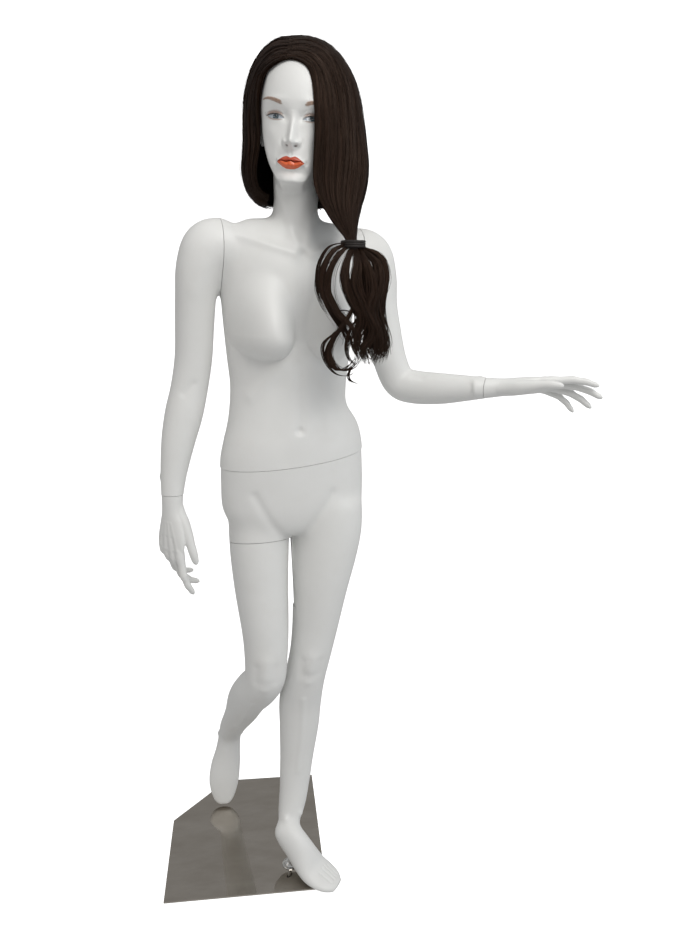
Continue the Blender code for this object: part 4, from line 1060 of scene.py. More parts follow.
def make_hand(name, hand, at, out):
    shell = united(name, lambda bm: hand.draw(bm, WRIST_SECTION), 0.0013, 6)
    sculpt(shell, hand.lines())
    emboss(shell, [(on_skin(shell, line, 5), spread, height) for line, spread, height
                   in hand.nails()])
    cut(shell, lambda bm: slab(bm, at + out * SEAM_HALF, -out, Y_SIDE, (0.2, 0.2, 0.2)))
    cut(shell, lambda bm: mouth(bm, at, out, Y_SIDE, WRIST_MOUTH, depth=0.014))
    return shell


RIGHT_ARM_LINES = metres([
    ([(-86, -40, 1430), (-102, -40, 1380)], 14, 1.6),
    ([(-122, 45, 1180), (-128, 42, 1160)], 10, 3),
    ([(-110, -26, 1190), (-130, -26, 1170)], 8, -2.2),
    ([(-184, -12, 985)], 7, 2.6)
])
LEFT_ARM_LINES = metres([
    ([(262, 14, 1430), (280, 20, 1380)], 14, 1.6),
    ([(346, 92, 1172), (352, 88, 1160)], 10, 3),
    ([(360, 10, 1220), (380, 0, 1214)], 8, -2.2),
    ([(500, -45, 1222)], 7, 2.6)
])


# ---------------------------------------------------------------- face
# Face places are in millimetres: a to the figure's left, b up, w forward of the cranium.
FACE_RIGHT = HEAD_SIDE * math.cos(HEAD_ROLL) - UP * math.sin(HEAD_ROLL)
FACE_UP = HEAD_SIDE * math.sin(HEAD_ROLL) + UP * math.cos(HEAD_ROLL)
FACE_AT = CRANIUM_AT + FACE_RIGHT * 0.0048
MM = 0.001

PROFILE = [(110, 40), (95, 61), (85, 69), (77, 75), (60, 83.5), (40, 90), (20, 93.5), (5, 94),
           (-8, 92), (-20, 88.5), (-30, 86.5), (-45, 86), (-60, 87), (-75, 88), (-90, 88.5),
           (-105, 87.5), (-113, 85), (-119, 84.4), (-126, 87), (-133, 87.8), (-139, 84.5),
           (-144, 78), (-150, 70), (-160, 60)]
HALF_FACE = [(110, 56), (90, 66), (60, 74), (40, 76), (0, 77), (-30, 75), (-60, 70), (-93, 61),
             (-110, 53), (-120, 46), (-132, 37), (-142, 28), (-160, 20)]
FALL = [(110, 50), (90, 60), (60, 72), (0, 76), (-30, 74), (-60, 68), (-93, 60), (-120, 48),
        (-142, 34), (-160, 28)]
NOSE = [(-12, 0), (-20, 2), (-27, 4.5), (-36, 8.5), (-45, 13), (-55, 18.6), (-61, 22.4),
        (-65, 24), (-68.5, 23.6), (-72, 20.5), (-75, 15.5), (-78, 9.5), (-81, 4.6), (-84, 1.5),
        (-88, 0)]
NOSE_WIDTH = [(-12, 7.0), (-27, 6.2), (-40, 7.0), (-55, 7.8), (-64, 9.0), (-70, 9.0), (-76, 7.5),
              (-84, 6.0)]
# Blobs: a, b, spread across, spread up, height. Each is drawn on both sides.
BLOBS = [
    (33.0, -20.0, 17.0, 11.0, -7.5), (15.5, -24.0, 6.0, 8.0, -3.6), (34.0, -26.0, 14.0, 9.5, 5.2),
    (36.0, 3.0, 20.0, 7.0, 2.2), (47.0, -46.0, 15.0, 13.0, 3.2), (42.0, -78.0, 12.0, 14.0, -1.8),
    (13.0, -68.0, 4.6, 5.0, 8.6), (19.6, -67.0, 2.6, 6.0, -1.8), (7.6, -74.0, 3.0, 2.4, -4.2),
    (4.2, -85.0, 1.8, 5.0, 0.8), (28.5, -101.0, 3.2, 3.6, -2.0), (26.0, -88.0, 4.0, 9.0, -0.9),
    (9.0, -133.0, 9.0, 7.0, 1.2)
]


EYE_INNER, EYE_WIDTH = 16.5, 35.5
MOUTH_HALF = 26.4
NOSE_OFF = 0.6
FACE_TOP, FACE_LOW = 92.0, -150.0


def table(rows, at):
    """Smooth value of a two-column table at a height."""
    rows = spline(sorted(rows), 12 * len(rows))
    return np.interp(at, rows[:, 0], rows[:, 1])


def mouth_line(a):
    reach = a / MOUTH_HALF
    return -99.8 - 1.5 * reach ** 2 + 0.8 * np.cos(reach * 3 * math.pi)


def upper_lip_edge(a):
    side = np.abs(a) / MOUTH_HALF
    return np.interp(side, [0, 0.16, 0.30, 0.5, 0.75, 1.0],
                     [-93.6, -92.4, -90.9, -92.6, -96.6, -101.6])


def lower_lip_edge(a):
    side = np.abs(a) / MOUTH_HALF
    return np.interp(side, [0, 0.3, 0.55, 0.8, 1.0], [-113.6, -113.0, -110.2, -105.6, -101.6])


def eye_part(a):
    return np.clip((np.abs(a) - EYE_INNER) / EYE_WIDTH, 0.0, 1.0)


def eye_axis(p):
    return -27.0 + 4.6 * p


def upper_lid(p):
    p = np.clip(p, 0.0, 1.0)
    return eye_axis(p) + 5.4 * np.abs(np.sin(math.pi * p ** 0.86)) ** 0.85


def lower_lid(p):
    p = np.clip(p, 0.0, 1.0)
    return eye_axis(p) - 3.9 * np.abs(np.sin(math.pi * p ** 1.12)) ** 0.9


def lid_crease(p):
    p = np.clip(p, 0.0, 1.0)
    return eye_axis(p) + 1.5 + 8.2 * np.abs(np.sin(math.pi * (0.06 + 0.86 * p) ** 0.9)) ** 0.8


def bell(value, spread):
    return np.exp(-(value / spread) ** 2)


def face_depth(a, b):
    """How far forward the finished face lies at a and b."""
    half = table(HALF_FACE, b)
    slope = 1.0 - np.sqrt(1.0 - np.clip((a / half) ** 2, 0.0, 0.97))
    depth = table(PROFILE, b) - table(FALL, b) * slope
    nose = table(NOSE, b) * ((b < -12) & (b > -88))
    shifted = a - NOSE_OFF
    depth += nose * np.exp(-np.abs(shifted / table(NOSE_WIDTH, b)) ** 2.2)
    for a0, b0, wide, tall, height in BLOBS:
        for sign in (-1.0, 1.0):
            depth += height * bell(a - sign * a0, wide) * bell(b - b0, tall)
    depth -= 0.9 * bell(a, 1.9) * bell(b + 85.5, 5.0)
    reach = np.sqrt(np.clip(1.0 - (a / 27.5) ** 2, 0.0, 1.0))
    line = mouth_line(a)
    upper = (upper_lip_edge(a) + line) / 2 - 0.6
    lower = (lower_lip_edge(a) + line) / 2 + 0.2
    depth += 5.4 * reach * bell(b - upper, 4.8) + 6.4 * reach * bell(b - lower, 5.4)
    depth -= 3.8 * reach * bell(b - line, 1.05)
    depth += 0.55 * reach * bell(b - upper_lip_edge(a) - 0.4, 0.8)
    depth -= 1.6 * bell(a, 12.0) * bell(b + 117.5, 3.2)
    p = eye_part(a)
    beside = (np.abs(a) > EYE_INNER - 0.5) & (np.abs(a) < EYE_INNER + EYE_WIDTH + 0.5)
    open_eye = np.clip(np.sin(math.pi * p), 0.0, 1.0) ** 0.5 * beside
    depth -= 1.3 * open_eye * bell(b - lid_crease(p), 0.9)
    depth += 1.15 * open_eye * bell(b - upper_lid(p) - 1.0, 1.2)
    depth += 0.7 * open_eye * bell(b - lower_lid(p) + 0.9, 1.1)
    inside = (b < upper_lid(p)) & (b > lower_lid(p))
    depth -= 0.9 * open_eye * inside
    return depth


def face_places(points):
    offset = points - np.array(FACE_AT)
    return (offset @ np.array(FACE_RIGHT) / MM, offset @ np.array(FACE_UP) / MM,
            offset @ np.array(HEAD_FRONT) / MM)


def fade(value, full, none):
    return np.clip((value - none) / (full - none), 0.0, 1.0)


def smooth_fade(value, full, none):
    t = fade(value, full, none)
    return t * t * (3 - 2 * t)


def carve_face(obj):
    """Move the front of the head onto the face's depth, fading out at its edges."""
    points, _ = vertex_arrays(obj)
    a, b, w = face_places(points)
    target = face_depth(a, b)
    side = np.abs(a) / table(HALF_FACE, b)
    keep = smooth_fade(side, 0.70, 0.93)
    keep *= smooth_fade(b, 66.0, FACE_TOP) * smooth_fade(b, -139.0, FACE_LOW)
    bare = target - table(NOSE, b) * bell(a, 12.0)
    keep *= smooth_fade(w, bare - 22.0, bare - 40.0)
    keep *= (b > FACE_LOW - 2) & (b < FACE_TOP + 3)
    shift = (target - w) * keep * MM
    set_points(obj, points + shift[:, None] * np.array(HEAD_FRONT))


NECK_ROOT_AT = (0.094, 0.020, 1.505)
THROAT_AT = (0.088, -0.030, 1.600)


def near_face(ahead, low, high, half):
    """Whether a point lies in a window of the face, in metres from its centre."""
    def inside(co):
        offset = co - FACE_AT
        return (offset.dot(HEAD_FRONT) > ahead and low < offset.dot(FACE_UP) < high
                and abs(offset.dot(FACE_RIGHT)) < half)
    return inside


def make_upper_shell():
    shell = united("upper_body", draw_upper, 0.0030, 12)
    ease_shoulders(shell)
    relax(shell, lambda p: ball(p, NECK_ROOT_AT, 0.16), 60)
    relax(shell, lambda p: ball(p, THROAT_AT, 0.08), 30)
    refine(shell, lambda c: 1.235 < c.z < 1.37 and c.y < -0.02 and -0.045 < c.x < 0.235, 2)
    swell_bust(shell)
    relax(shell, lambda p: np.clip((p[:, 2] - 1.22) * 40, 0, 1) * (p[:, 2] < 1.45), 5)
    sculpt(shell, UPPER_LINES)

    refine(shell, near_face(0.026, -0.150, 0.090, 0.068), 3)
    refine(shell, near_face(0.050, -0.125, 0.004, 0.056), 2)
    carve_face(shell)
    cut(shell, below(WAIST_AT, WAIST_UP))
    cut(shell, lambda bm: mouth(bm, WAIST_AT, WAIST_UP, CHEST_SIDE, WAIST_MOUTH))
    for at, out in ((R_SHOULDER_AT, R_SHOULDER_OUT), (L_SHOULDER_AT, L_SHOULDER_OUT)):
        cut(shell, shoulder_cutter(at, out))
        cut(shell, lambda bm: mouth(bm, at, -out, Y_SIDE, SHOULDER_MOUTH))
    return shell


class Skin:
    """The finished head as a surface to paint on."""

    def __init__(self, obj):
        mesh = obj.data
        points, _ = vertex_arrays(obj)
        faces = [tuple(face.vertices) for face in mesh.polygons]
        self.tree = BVHTree.FromPolygons([Vector(p) for p in points], faces)

    def at(self, a, b, lift):
        start = FACE_AT + FACE_RIGHT * (a * MM) + FACE_UP * (b * MM) + HEAD_FRONT * 0.25
        place, normal, _, _ = self.tree.ray_cast(start, -HEAD_FRONT)
        if place is None:
            place, normal, _, _ = self.tree.find_nearest(start - HEAD_FRONT * 0.2)
        if normal.dot(HEAD_FRONT) < 0:
            normal = -normal
        return place + normal * (lift * MM), normal


def patch(skin_of, name, where, size, lift, tint, mat):
    """Painted area: a fine grid laid on the skin, its rim tucked just under it."""
    across, along = size
    points = []
    shades = []
    for i in range(across + 1):
        for j in range(along + 1):
            u, v = i / across, j / along
            rim = i in (0, across) or j in (0, along)
            a, b = where(u, v)
            place, _ = skin_of.at(a, b, -0.12 if rim else lift)
            points.append(place)
            shades.append(tint(u, v))
    row = along + 1
    faces = [(i * row + j, (i + 1) * row + j, (i + 1) * row + j + 1, i * row + j + 1)
             for i in range(across) for j in range(along)]
    obj = mesh_object(name, points, faces)
    point_values(obj, "tint", shades)
    bm = bmesh.new()
    bm.from_mesh(obj.data)
    bmesh.ops.remove_doubles(bm, verts=bm.verts[:], dist=1e-6)
    bmesh.ops.recalc_face_normals(bm, faces=bm.faces[:])
    if bm.faces and sum((f.normal.dot(HEAD_FRONT) for f in bm.faces)) < 0:
        bmesh.ops.reverse_faces(bm, faces=bm.faces[:])
    bm.to_mesh(obj.data)
    bm.free()
    finished(obj, "upper_body", mat)


def steady(value):
    return lambda u, v: value


def ease(t):
    t = min(max(t, 0.0), 1.0)
    return t * t * (3 - 2 * t)


def eye_place(sign, p, b):
    return sign * (EYE_INNER + EYE_WIDTH * p), b


# Paint: name, colour inside and outside, roughness and how fine its streaks are.
EYE_PAINTS = (
    # The eye white's darker outer colour is a painted shade, laid towards the upper lid and the
    # corners.
    ("eye_white", (0.47, 0.52, 0.57), (0.33, 0.37, 0.42), 0.30, 300.0),
    ("iris", (0.070, 0.105, 0.125), (0.030, 0.048, 0.064), 0.25, 900.0),
    ("pupil", (0.006, 0.006, 0.007), (0.010, 0.010, 0.012), 0.2, 500.0),
    # Painted highlight: a light dot standing in for a reflection of the light in the eye.
    ("catchlight", (0.80, 0.82, 0.84), (0.72, 0.75, 0.78), 0.3, 400.0),
)


def paint_eye(skin_of, side, sign):
    def band(low, high, first=0.0, last=1.0):
        def where(u, v):
            p = first + (last - first) * u
            return eye_place(sign, p, low(p) + (high(p) - low(p)) * v)
        return where

    def disc(centre, radius):
        def where(u, v):
            angle = 2 * math.pi * u
            a = centre[0] + radius * v * math.cos(angle)
            b = centre[1] + radius * v * math.sin(angle)
            p = float(eye_part(a))
            return sign * a, min(max(b, float(lower_lid(p)) + 0.2), float(upper_lid(p)) - 0.2)
        return where

    def up(curve, rise):
        return lambda p: float(curve(p)) + rise

    iris = (33.6, -24.4)
    white, blue, black, dot = (eye_paint(name + "_paint_" + side, *look)
                               for name, *look in EYE_PAINTS)
    shadow = tint_and_shade_paint("lid_shadow_paint_" + side, (0.30, 0.135, 0.070))
    liner = tint_and_shade_paint("liner_paint_" + side, (0.050, 0.022, 0.014))
    # Eye white: darker towards the upper lid and the corners, a painted shade of the lid.
    patch(skin_of, side + "_eye_white", band(up(lower_lid, -0.1), up(upper_lid, 0.1), 0.02, 0.98),
          (48, 14), 0.16, lambda u, v: 0.15 + 0.85 * ease(2.0 * v - 1.0) * 0.8
          + 0.5 * ease(abs(u - 0.5) * 3.0 - 0.7), white)
    patch(skin_of, side + "_iris", disc(iris, 6.3), (48, 10), 0.26,
          lambda u, v: ease((v - 0.45) * 2.2), blue)
    patch(skin_of, side + "_pupil", disc(iris, 2.5), (32, 4), 0.34, steady(0.0), black)
    # Painted highlight: a small light dot on the iris standing in for a reflection of the light.
    patch(skin_of, side + "_catchlight", disc((iris[0] + 1.5 * sign, iris[1] + 2.0), 0.75),
          (16, 3), 0.42, steady(0.0), dot)
    patch(skin_of, side + "_lid_shadow", band(up(upper_lid, 0.2), up(lid_crease, 4.5), 0.0, 1.12),
          (56, 20), 0.14, lambda u, v: 1.0 * (1 - ease(v * 1.05)) * ease(u * 5) * ease((1 - u) * 4),
          shadow)
    patch(skin_of, side + "_under_eye", band(up(lower_lid, -4.2), up(lower_lid, 0.2), 0.02, 1.04),
          (56, 12), 0.12, lambda u, v: 0.85 * ease(v * 1.2) ** 2 * ease(u * 4) * ease((1 - u) * 4),
          shadow)
    patch(skin_of, side + "_upper_liner", band(up(upper_lid, -0.7), up(upper_lid, 1.7), 0.0, 1.08),
          (64, 8), 0.46, lambda u, v: ease(v * 4) * ease((1 - v) * 2.2)
          * (0.35 + 0.65 * ease(u * 2.2)) * ease((1 - u) * 9), liner)
    patch(skin_of, side + "_lower_liner", band(up(lower_lid, -1.0), up(lower_lid, 0.5), 0.05, 1.0),
          (64, 6), 0.40, lambda u, v: 0.75 * ease(v * 3) * ease((1 - v) * 3) * ease(u * 3)
          * ease((1 - u) * 9), liner)


def brow_line(p):
    return float(np.interp(p, [0.0, 0.25, 0.5, 0.72, 0.9, 1.0], [-3.2, 0.6, 3.9, 6.0, 6.0, 4.8]))


def brow_half(p):
    return float(np.interp(p, [0.0, 0.12, 0.4, 0.75, 1.0], [2.8, 3.9, 3.6, 2.2, 0.8]))


def paint_brow(skin_of, side, sign):
    wash = tint_and_shade_paint("brow_wash_" + side, (0.36, 0.17, 0.07))
    stroke_paint = tint_and_shade_paint("brow_stroke_" + side, (0.22, 0.095, 0.04))

    def where(u, v):
        return sign * (20.5 + 41.5 * u), brow_line(u) + (2 * v - 1) * (brow_half(u) + 0.8)

    patch(skin_of, side + "_brow_wash", where, (64, 12), 0.10,
          lambda u, v: 0.85 * ease((1 - abs(2 * v - 1)) * 1.6) * ease(u * 7)
          * ease((1 - u) * 9), wash)
    points, faces, shades = [], [], []
    for _ in range(150):
        p = rng.random() ** 0.9
        level = rng.uniform(-1.0, 0.45)
        a = 20.8 + 41.0 * p
        b = brow_line(p) + level * brow_half(p)
        lean = math.radians(rng.uniform(58, 80) - 62 * p)
        length = rng.uniform(3.0, 5.2) * (1.0 - 0.35 * p)
        width = rng.uniform(0.22, 0.42)
        first = len(points)
        for k in range(5):
            t = k / 4
            half = width * (1 - t ** 1.5) * 0.5 + 0.03
            turn = lean - 0.5 * t
            ca = a + length * t * math.cos(turn)
            cb = b + length * t * math.sin(turn)
            for flank in (-1, 1):
                place, _ = skin_of.at(sign * (ca - flank * half * math.sin(turn)),
                                      cb + flank * half * math.cos(turn), 0.26)
                points.append(place)
                shades.append(0.95 - 0.4 * t)
        for k in range(4):
            n = first + 2 * k
            quad = (n, n + 1, n + 3, n + 2)
            faces.append(quad if sign > 0 else quad[::-1])
    obj = mesh_object(side + "_brow_strokes", points, faces)
    point_values(obj, "tint", shades)
    finished(obj, "upper_body", stroke_paint)


def paint_lips(skin_of):
    # One lip paint in two copies: the upper lip's darker colours are a painted shade of its
    # downward-facing surface.
    upper_shaded_paint = lip_paint("upper_lip_shaded_paint", (0.43, 0.050, 0.018), (0.55, 0.075, 0.024), 0.40)
    lower_paint = lip_paint("lower_lip_paint", (0.66, 0.105, 0.030), (0.80, 0.150, 0.045), 0.30)

    def upper(u, v):
        a = -26.0 + 52.0 * u
        low, high = float(mouth_line(a)), float(upper_lip_edge(a))
        return a, low + (max(high, low + 0.05) - low) * v

    def lower(u, v):
        a = -25.5 + 51.0 * u
        low, high = float(lower_lip_edge(a)), float(mouth_line(a))
        return a, high - (high - min(low, high - 0.05)) * v

    # The stored values darken the upper lip towards the mouth crease and its corners, and the lower
    # lip towards the crease and a little at its lower edge: painted shade.
    patch(skin_of, "upper_lip", upper, (96, 20), 0.22, lambda u, v: 0.75 * (1 - ease(v * 4.0))
          + 0.35 * ease(abs(u - 0.5) * 2.4 - 0.5), upper_shaded_paint)
    patch(skin_of, "lower_lip", lower, (96, 24), 0.22, lambda u, v: 0.85 * (1 - ease(v * 7.0))
          + 0.12 * ease(v * 3 - 2), lower_paint)


def paint_nostril_shade(skin_of):
    # Painted shade: dark patches inside the nostrils stand in for the shadow in their hollows.
    dark = tint_and_shade_paint("nostril_shade_paint", (0.085, 0.048, 0.042))
    for side, sign in (("right", -1.0), ("left", 1.0)):
        def where(u, v, sign=sign):
            angle = 2 * math.pi * u
            a = 8.2 + 4.3 * v * math.cos(angle) + 1.0 * v * math.sin(angle)
            b = -73.6 + 2.5 * v * math.sin(angle) + 0.6 * v * math.cos(angle)
            return sign * a + NOSE_OFF, b
        patch(skin_of, side + "_nostril", where, (32, 8), 0.12,
              lambda u, v: 0.9 * (1 - ease(v * 1.2 - 0.2)), dark)


def tube_along(points, faces, rows, sides, fibres=None, shift=0.0):
    """Add a closed tapering tube. Rows hold the middle, across and over vectors."""
    first = len(points)
    for k, (middle, across, over) in enumerate(rows):
        for i in range(sides):
            angle = 2 * math.pi * i / sides
            points.append(middle + across * math.cos(angle) + over * math.sin(angle))
            if fibres is not None:
                fibres.append((0.5 + 0.5 * math.cos(angle), k / 6.0, shift))
    for k in range(len(rows) - 1):
        for i in range(sides):
            j = (i + 1) % sides
            low, high = first + k * sides, first + (k + 1) * sides
            faces.append((low + i, low + j, high + j, high + i))
    last = first + (len(rows) - 1) * sides
    faces.append(tuple(range(first + sides - 1, first - 1, -1)))
    faces.append(tuple(range(last, last + sides)))


def make_lashes(skin_of, side, sign):
    points, faces = [], []
    for number in range(46):
        p = 0.06 + 0.96 * number / 45
        p = p + rng.uniform(-0.008, 0.008)
        root_a, root_b = eye_place(sign, p, float(upper_lid(min(p, 1.0))) + 0.2)
        root, _ = skin_of.at(root_a, root_b, 0.1)
        length = (3.6 + 5.2 * ease(p * 1.15)) * rng.uniform(0.85, 1.08)
        fan = (p - 0.42) * 1.15 + rng.uniform(-0.06, 0.06)
        rows = []
        for k in range(7):
            t = k / 6
            out = length * (0.92 * t - 0.20 * t * t)
            rise = length * (-0.12 * t + 0.62 * t * t)
            side_way = length * fan * 0.55 * t
            bow = HEAD_FRONT * out + FACE_UP * rise + FACE_RIGHT * (sign * side_way)
            middle = root + bow * MM
            thick = (0.13 * (1 - t) + 0.03) * MM
            rows.append((middle, FACE_RIGHT * thick, FACE_UP * thick))
        tube_along(points, faces, rows, 4)
    obj = mesh_object(side + "_lash_hairs", points, faces)
    turn_outward(obj)
    finished(obj, "upper_body", LASH, (side + "_lashes",))


# ---------------------------------------------------------------- wig
# Guides are in millimetres from the cranium: s to the figure's left, u up, w forward.
LEFT_GUIDES = [
    [(-4, 73, 81), (-22, 70, 80), (-42, 60, 76), (-58, 45, 67), (-66, 14, 61), (-68, -20, 54),
     (-68, -45, 48), (-70, -75, 46), (-76, -105, 42), (-76, -132, 38), (-64, -152, 34),
     (-46, -160, 28)],
    [(-4, 93, 67), (-34, 92, 59), (-62, 74, 50), (-82, 42, 42), (-91, 5, 36), (-93, -35, 32),
     (-93, -75, 30), (-96, -108, 28), (-91, -138, 26), (-74, -162, 24), (-52, -170, 18)],
    [(-4, 112, 48), (-40, 110, 38), (-72, 86, 28), (-92, 47, 20), (-101, 5, 14), (-102, -40, 10),
     (-104, -80, 8), (-107, -112, 8), (-98, -146, 8), (-78, -170, 8), (-56, -178, 4)],
    [(-3, 124, 18), (-40, 120, 8), (-74, 94, -4), (-95, 52, -14), (-102, 5, -20),
     (-102, -45, -24), (-103, -85, -26), (-104, -118, -26), (-94, -150, -24), (-74, -170, -22),
     (-52, -178, -24)],
    [(-2, 122, -20), (-36, 116, -34), (-66, 90, -50), (-83, 48, -62), (-89, 0, -70),
     (-89, -50, -71), (-88, -90, -68), (-85, -122, -64), (-74, -148, -60), (-54, -166, -58),
     (-32, -176, -58)],
    [(-2, 110, -58), (-26, 102, -76), (-46, 72, -95), (-57, 29, -107), (-59, -20, -111),
     (-57, -65, -106), (-52, -100, -98), (-42, -128, -90), (-26, -150, -82), (-4, -166, -76),
     (18, -178, -70)],
    [(2, 100, -78), (4, 88, -98), (6, 58, -113), (8, 18, -120), (10, -26, -119), (12, -70, -112),
     (16, -106, -103), (24, -136, -95), (36, -156, -86), (52, -172, -76)]
]
RIGHT_GUIDES = [
    [(-10, 73, 81), (6, 72, 82), (22, 66, 83), (32, 56, 84), (39, 38, 86), (43, 15, 89),
     (46, -15, 90), (47, -50, 90), (46, -85, 89), (45, -118, 88), (50, -145, 90), (63, -172, 95),
     (83, -200, 103), (108, -228, 110), (120, -241, 113)],
    [(-11, 93, 67), (18, 96, 61), (46, 88, 57), (66, 64, 57), (78, 30, 61), (85, -10, 65),
     (89, -50, 69), (89, -90, 73), (87, -125, 79), (89, -160, 87), (100, -195, 97),
     (116, -226, 108), (123, -242, 114)],
    [(-11, 112, 48), (24, 117, 37), (60, 104, 29), (88, 74, 27), (105, 36, 29), (114, -8, 35),
     (121, -52, 43), (125, -94, 51), (123, -132, 61), (119, -170, 75), (120, -205, 93),
     (126, -232, 108), (127, -243, 115)],
    [(-11, 124, 18), (26, 125, 5), (64, 110, -5), (95, 78, -11), (114, 38, -7), (126, -10, 1),
     (135, -56, 13), (141, -98, 27), (139, -138, 43), (131, -176, 63), (128, -210, 87),
     (129, -234, 106), (131, -244, 115)],
    [(-9, 122, -20), (26, 119, -36), (60, 100, -50), (87, 66, -58), (103, 24, -56),
     (113, -24, -46), (121, -70, -30), (127, -110, -10), (127, -148, 14), (125, -184, 44),
     (126, -214, 78), (129, -236, 104), (132, -245, 113)],
    [(-2, 110, -58), (22, 105, -78), (48, 84, -92), (68, 48, -99), (81, 5, -97), (89, -42, -85),
     (98, -86, -65), (105, -124, -40), (111, -158, -8), (115, -190, 32), (120, -218, 72),
     (127, -238, 102), (131, -247, 111)],
    [(0, 98, -80), (8, 88, -100), (18, 60, -114), (28, 22, -121), (38, -24, -116),
     (52, -68, -102), (70, -108, -80), (86, -142, -50), (98, -172, -12), (107, -198, 32),
     (115, -222, 72), (122, -240, 101), (127, -248, 110)],
    [(-4, 100, -76), (-14, 86, -98), (-24, 54, -112), (-28, 14, -120), (-24, -28, -118),
     (-12, -68, -108), (8, -104, -96), (34, -136, -76), (62, -162, -40), (86, -188, 8),
     (104, -214, 56), (117, -236, 94), (123, -247, 108)],
    [(-8, 98, -74), (-30, 84, -92), (-48, 50, -104), (-54, 10, -112), (-50, -30, -112),
     (-38, -70, -108), (-16, -106, -102), (14, -138, -86), (48, -166, -50), (78, -192, 0),
     (100, -216, 52), (116, -237, 92), (122, -248, 107)]
]
LAYERS = 24


def from_head(s, u, w):
    return CRANIUM_AT + (HEAD_SIDE * s + UP * u + HEAD_FRONT * w) * MM


def sheet_of(guides):
    return np.array([spline(guide, LAYERS) for guide in guides])


def sheet_point(sheet, u, t):
    """Smooth place on a sheet of guides: u counts guides and t runs from 0 to 1."""
    rows = len(sheet)
    u = min(max(u, 0.0), rows - 1.0)
    n = min(int(u), rows - 2)
    f = u - n
    level = min(max(t, 0.0), 1.0) * (LAYERS - 1)
    k = min(int(level), LAYERS - 2)
    g = level - k
    a, b, c, d = (sheet[min(max(n + i, 0), rows - 1)] for i in (-1, 0, 1, 2))
    a, b, c, d = (row[k] * (1 - g) + row[k + 1] * g for row in (a, b, c, d))
    return 0.5 * (2 * b + (c - a) * f + (2 * a - 5 * b + 4 * c - d) * f ** 2
                  + (3 * b - a - 3 * c + d) * f ** 3)


def clear_of_head(place):
    """Push a hair point out of the cranium, or its straight sides lower down."""
    s, u, w = place
    size = math.sqrt((s / 79.0) ** 2 + (max(u, 0.0) / 104.0) ** 2 + (w / 100.0) ** 2)
    wanted = np.interp(u, [-70.0, -40.0], [0.0, 1.0])
    if 1e-6 < size < wanted:
        return np.array((s, u, w)) + np.array((s, max(u, 0.0), w)) * (1.0 / size - 1.0) * wanted
    return place


def sheet_frame(sheet, u, t):
    place = clear_of_head(sheet_point(sheet, u, t))
    along = sheet_point(sheet, u, t + 0.02) - sheet_point(sheet, u, t - 0.02)
    across = sheet_point(sheet, u + 0.05, t) - sheet_point(sheet, u - 0.05, t)
    normal = np.cross(along, across)
    length = np.linalg.norm(normal)
    core = place - np.array((10.0, min(place[1], 0.0), -5.0))
    normal = normal / length if length > 1e-9 else core / np.linalg.norm(core)
    if normal @ core < 0:
        normal = -normal
    return place, normal


def lock_rows(places, normals, width, thickness, root=0.55, tip=0.18):
    rows = []
    count = len(places)
    for k, (place, normal) in enumerate(zip(places, normals)):
        ahead = places[min(k + 1, count - 1)] - places[max(k - 1, 0)]
        across = np.cross(ahead, normal)
        across = across / max(np.linalg.norm(across), 1e-9)
        t = k / (count - 1)
        size = np.interp(t, [0.0, 0.15, 0.55, 1.0], [root, 1.0, 0.95, tip])
        middle = from_head(*place)
        side = from_head(*(place + across)) - middle
        over = from_head(*(place + normal)) - middle
        rows.append((middle, side * (width * size / 2), over * (thickness * size / 2)))
    return rows


def hair_mesh(name, points, faces, fibres, mat, nodes=()):
    obj = mesh_object(name, points, faces)
    point_values(obj, "fibre", fibres, "FLOAT_VECTOR")
    turn_outward(obj)
    finished(obj, "wig", mat, nodes, sharp=80.0)


def comb(name, sheet, count, width, lifts, drift=0.22, reach=(0.90, 1.0), wave=1.4, sides=4,
         nodes=()):
    """Locks that follow a sheet of guides, each a little off its neighbours."""
    points, faces, fibres = [], [], []
    last = len(sheet) - 1
    steps = 26
    for number in range(count):
        u = (number + rng.random()) / count * last
        lift = rng.uniform(*lifts)
        slide = rng.gauss(0.0, drift)
        end = rng.uniform(*reach)
        phase = rng.uniform(0.0, 2 * math.pi)
        sway = rng.uniform(0.3, 1.0) * wave
        shift = rng.random() * 20.0
        places, normals = [], []
        for k in range(steps):
            t = k / (steps - 1) * end
            at = min(max(u + slide * (t - 0.4) * min(1.0, 2.0 * (1.0 - t) + 0.2), 0.0), last)
            place, normal = sheet_frame(sheet, at, t)
            rise = lift * min(1.0, 0.25 + 3.0 * t) * min(1.0, 1.0 - 0.5 * (t - 0.8) / 0.2)
            place = place + normal * (rise + sway * math.sin(phase + 9.0 * t))
            places.append(place)
            normals.append(normal)
        size = width * rng.uniform(0.65, 1.35)
        rows = lock_rows(places, normals, size, size * 0.42)
        tube_along(points, faces, rows, sides, fibres, shift)
    hair_mesh(name, points, faces, fibres, HAIR_FIBRE, nodes)


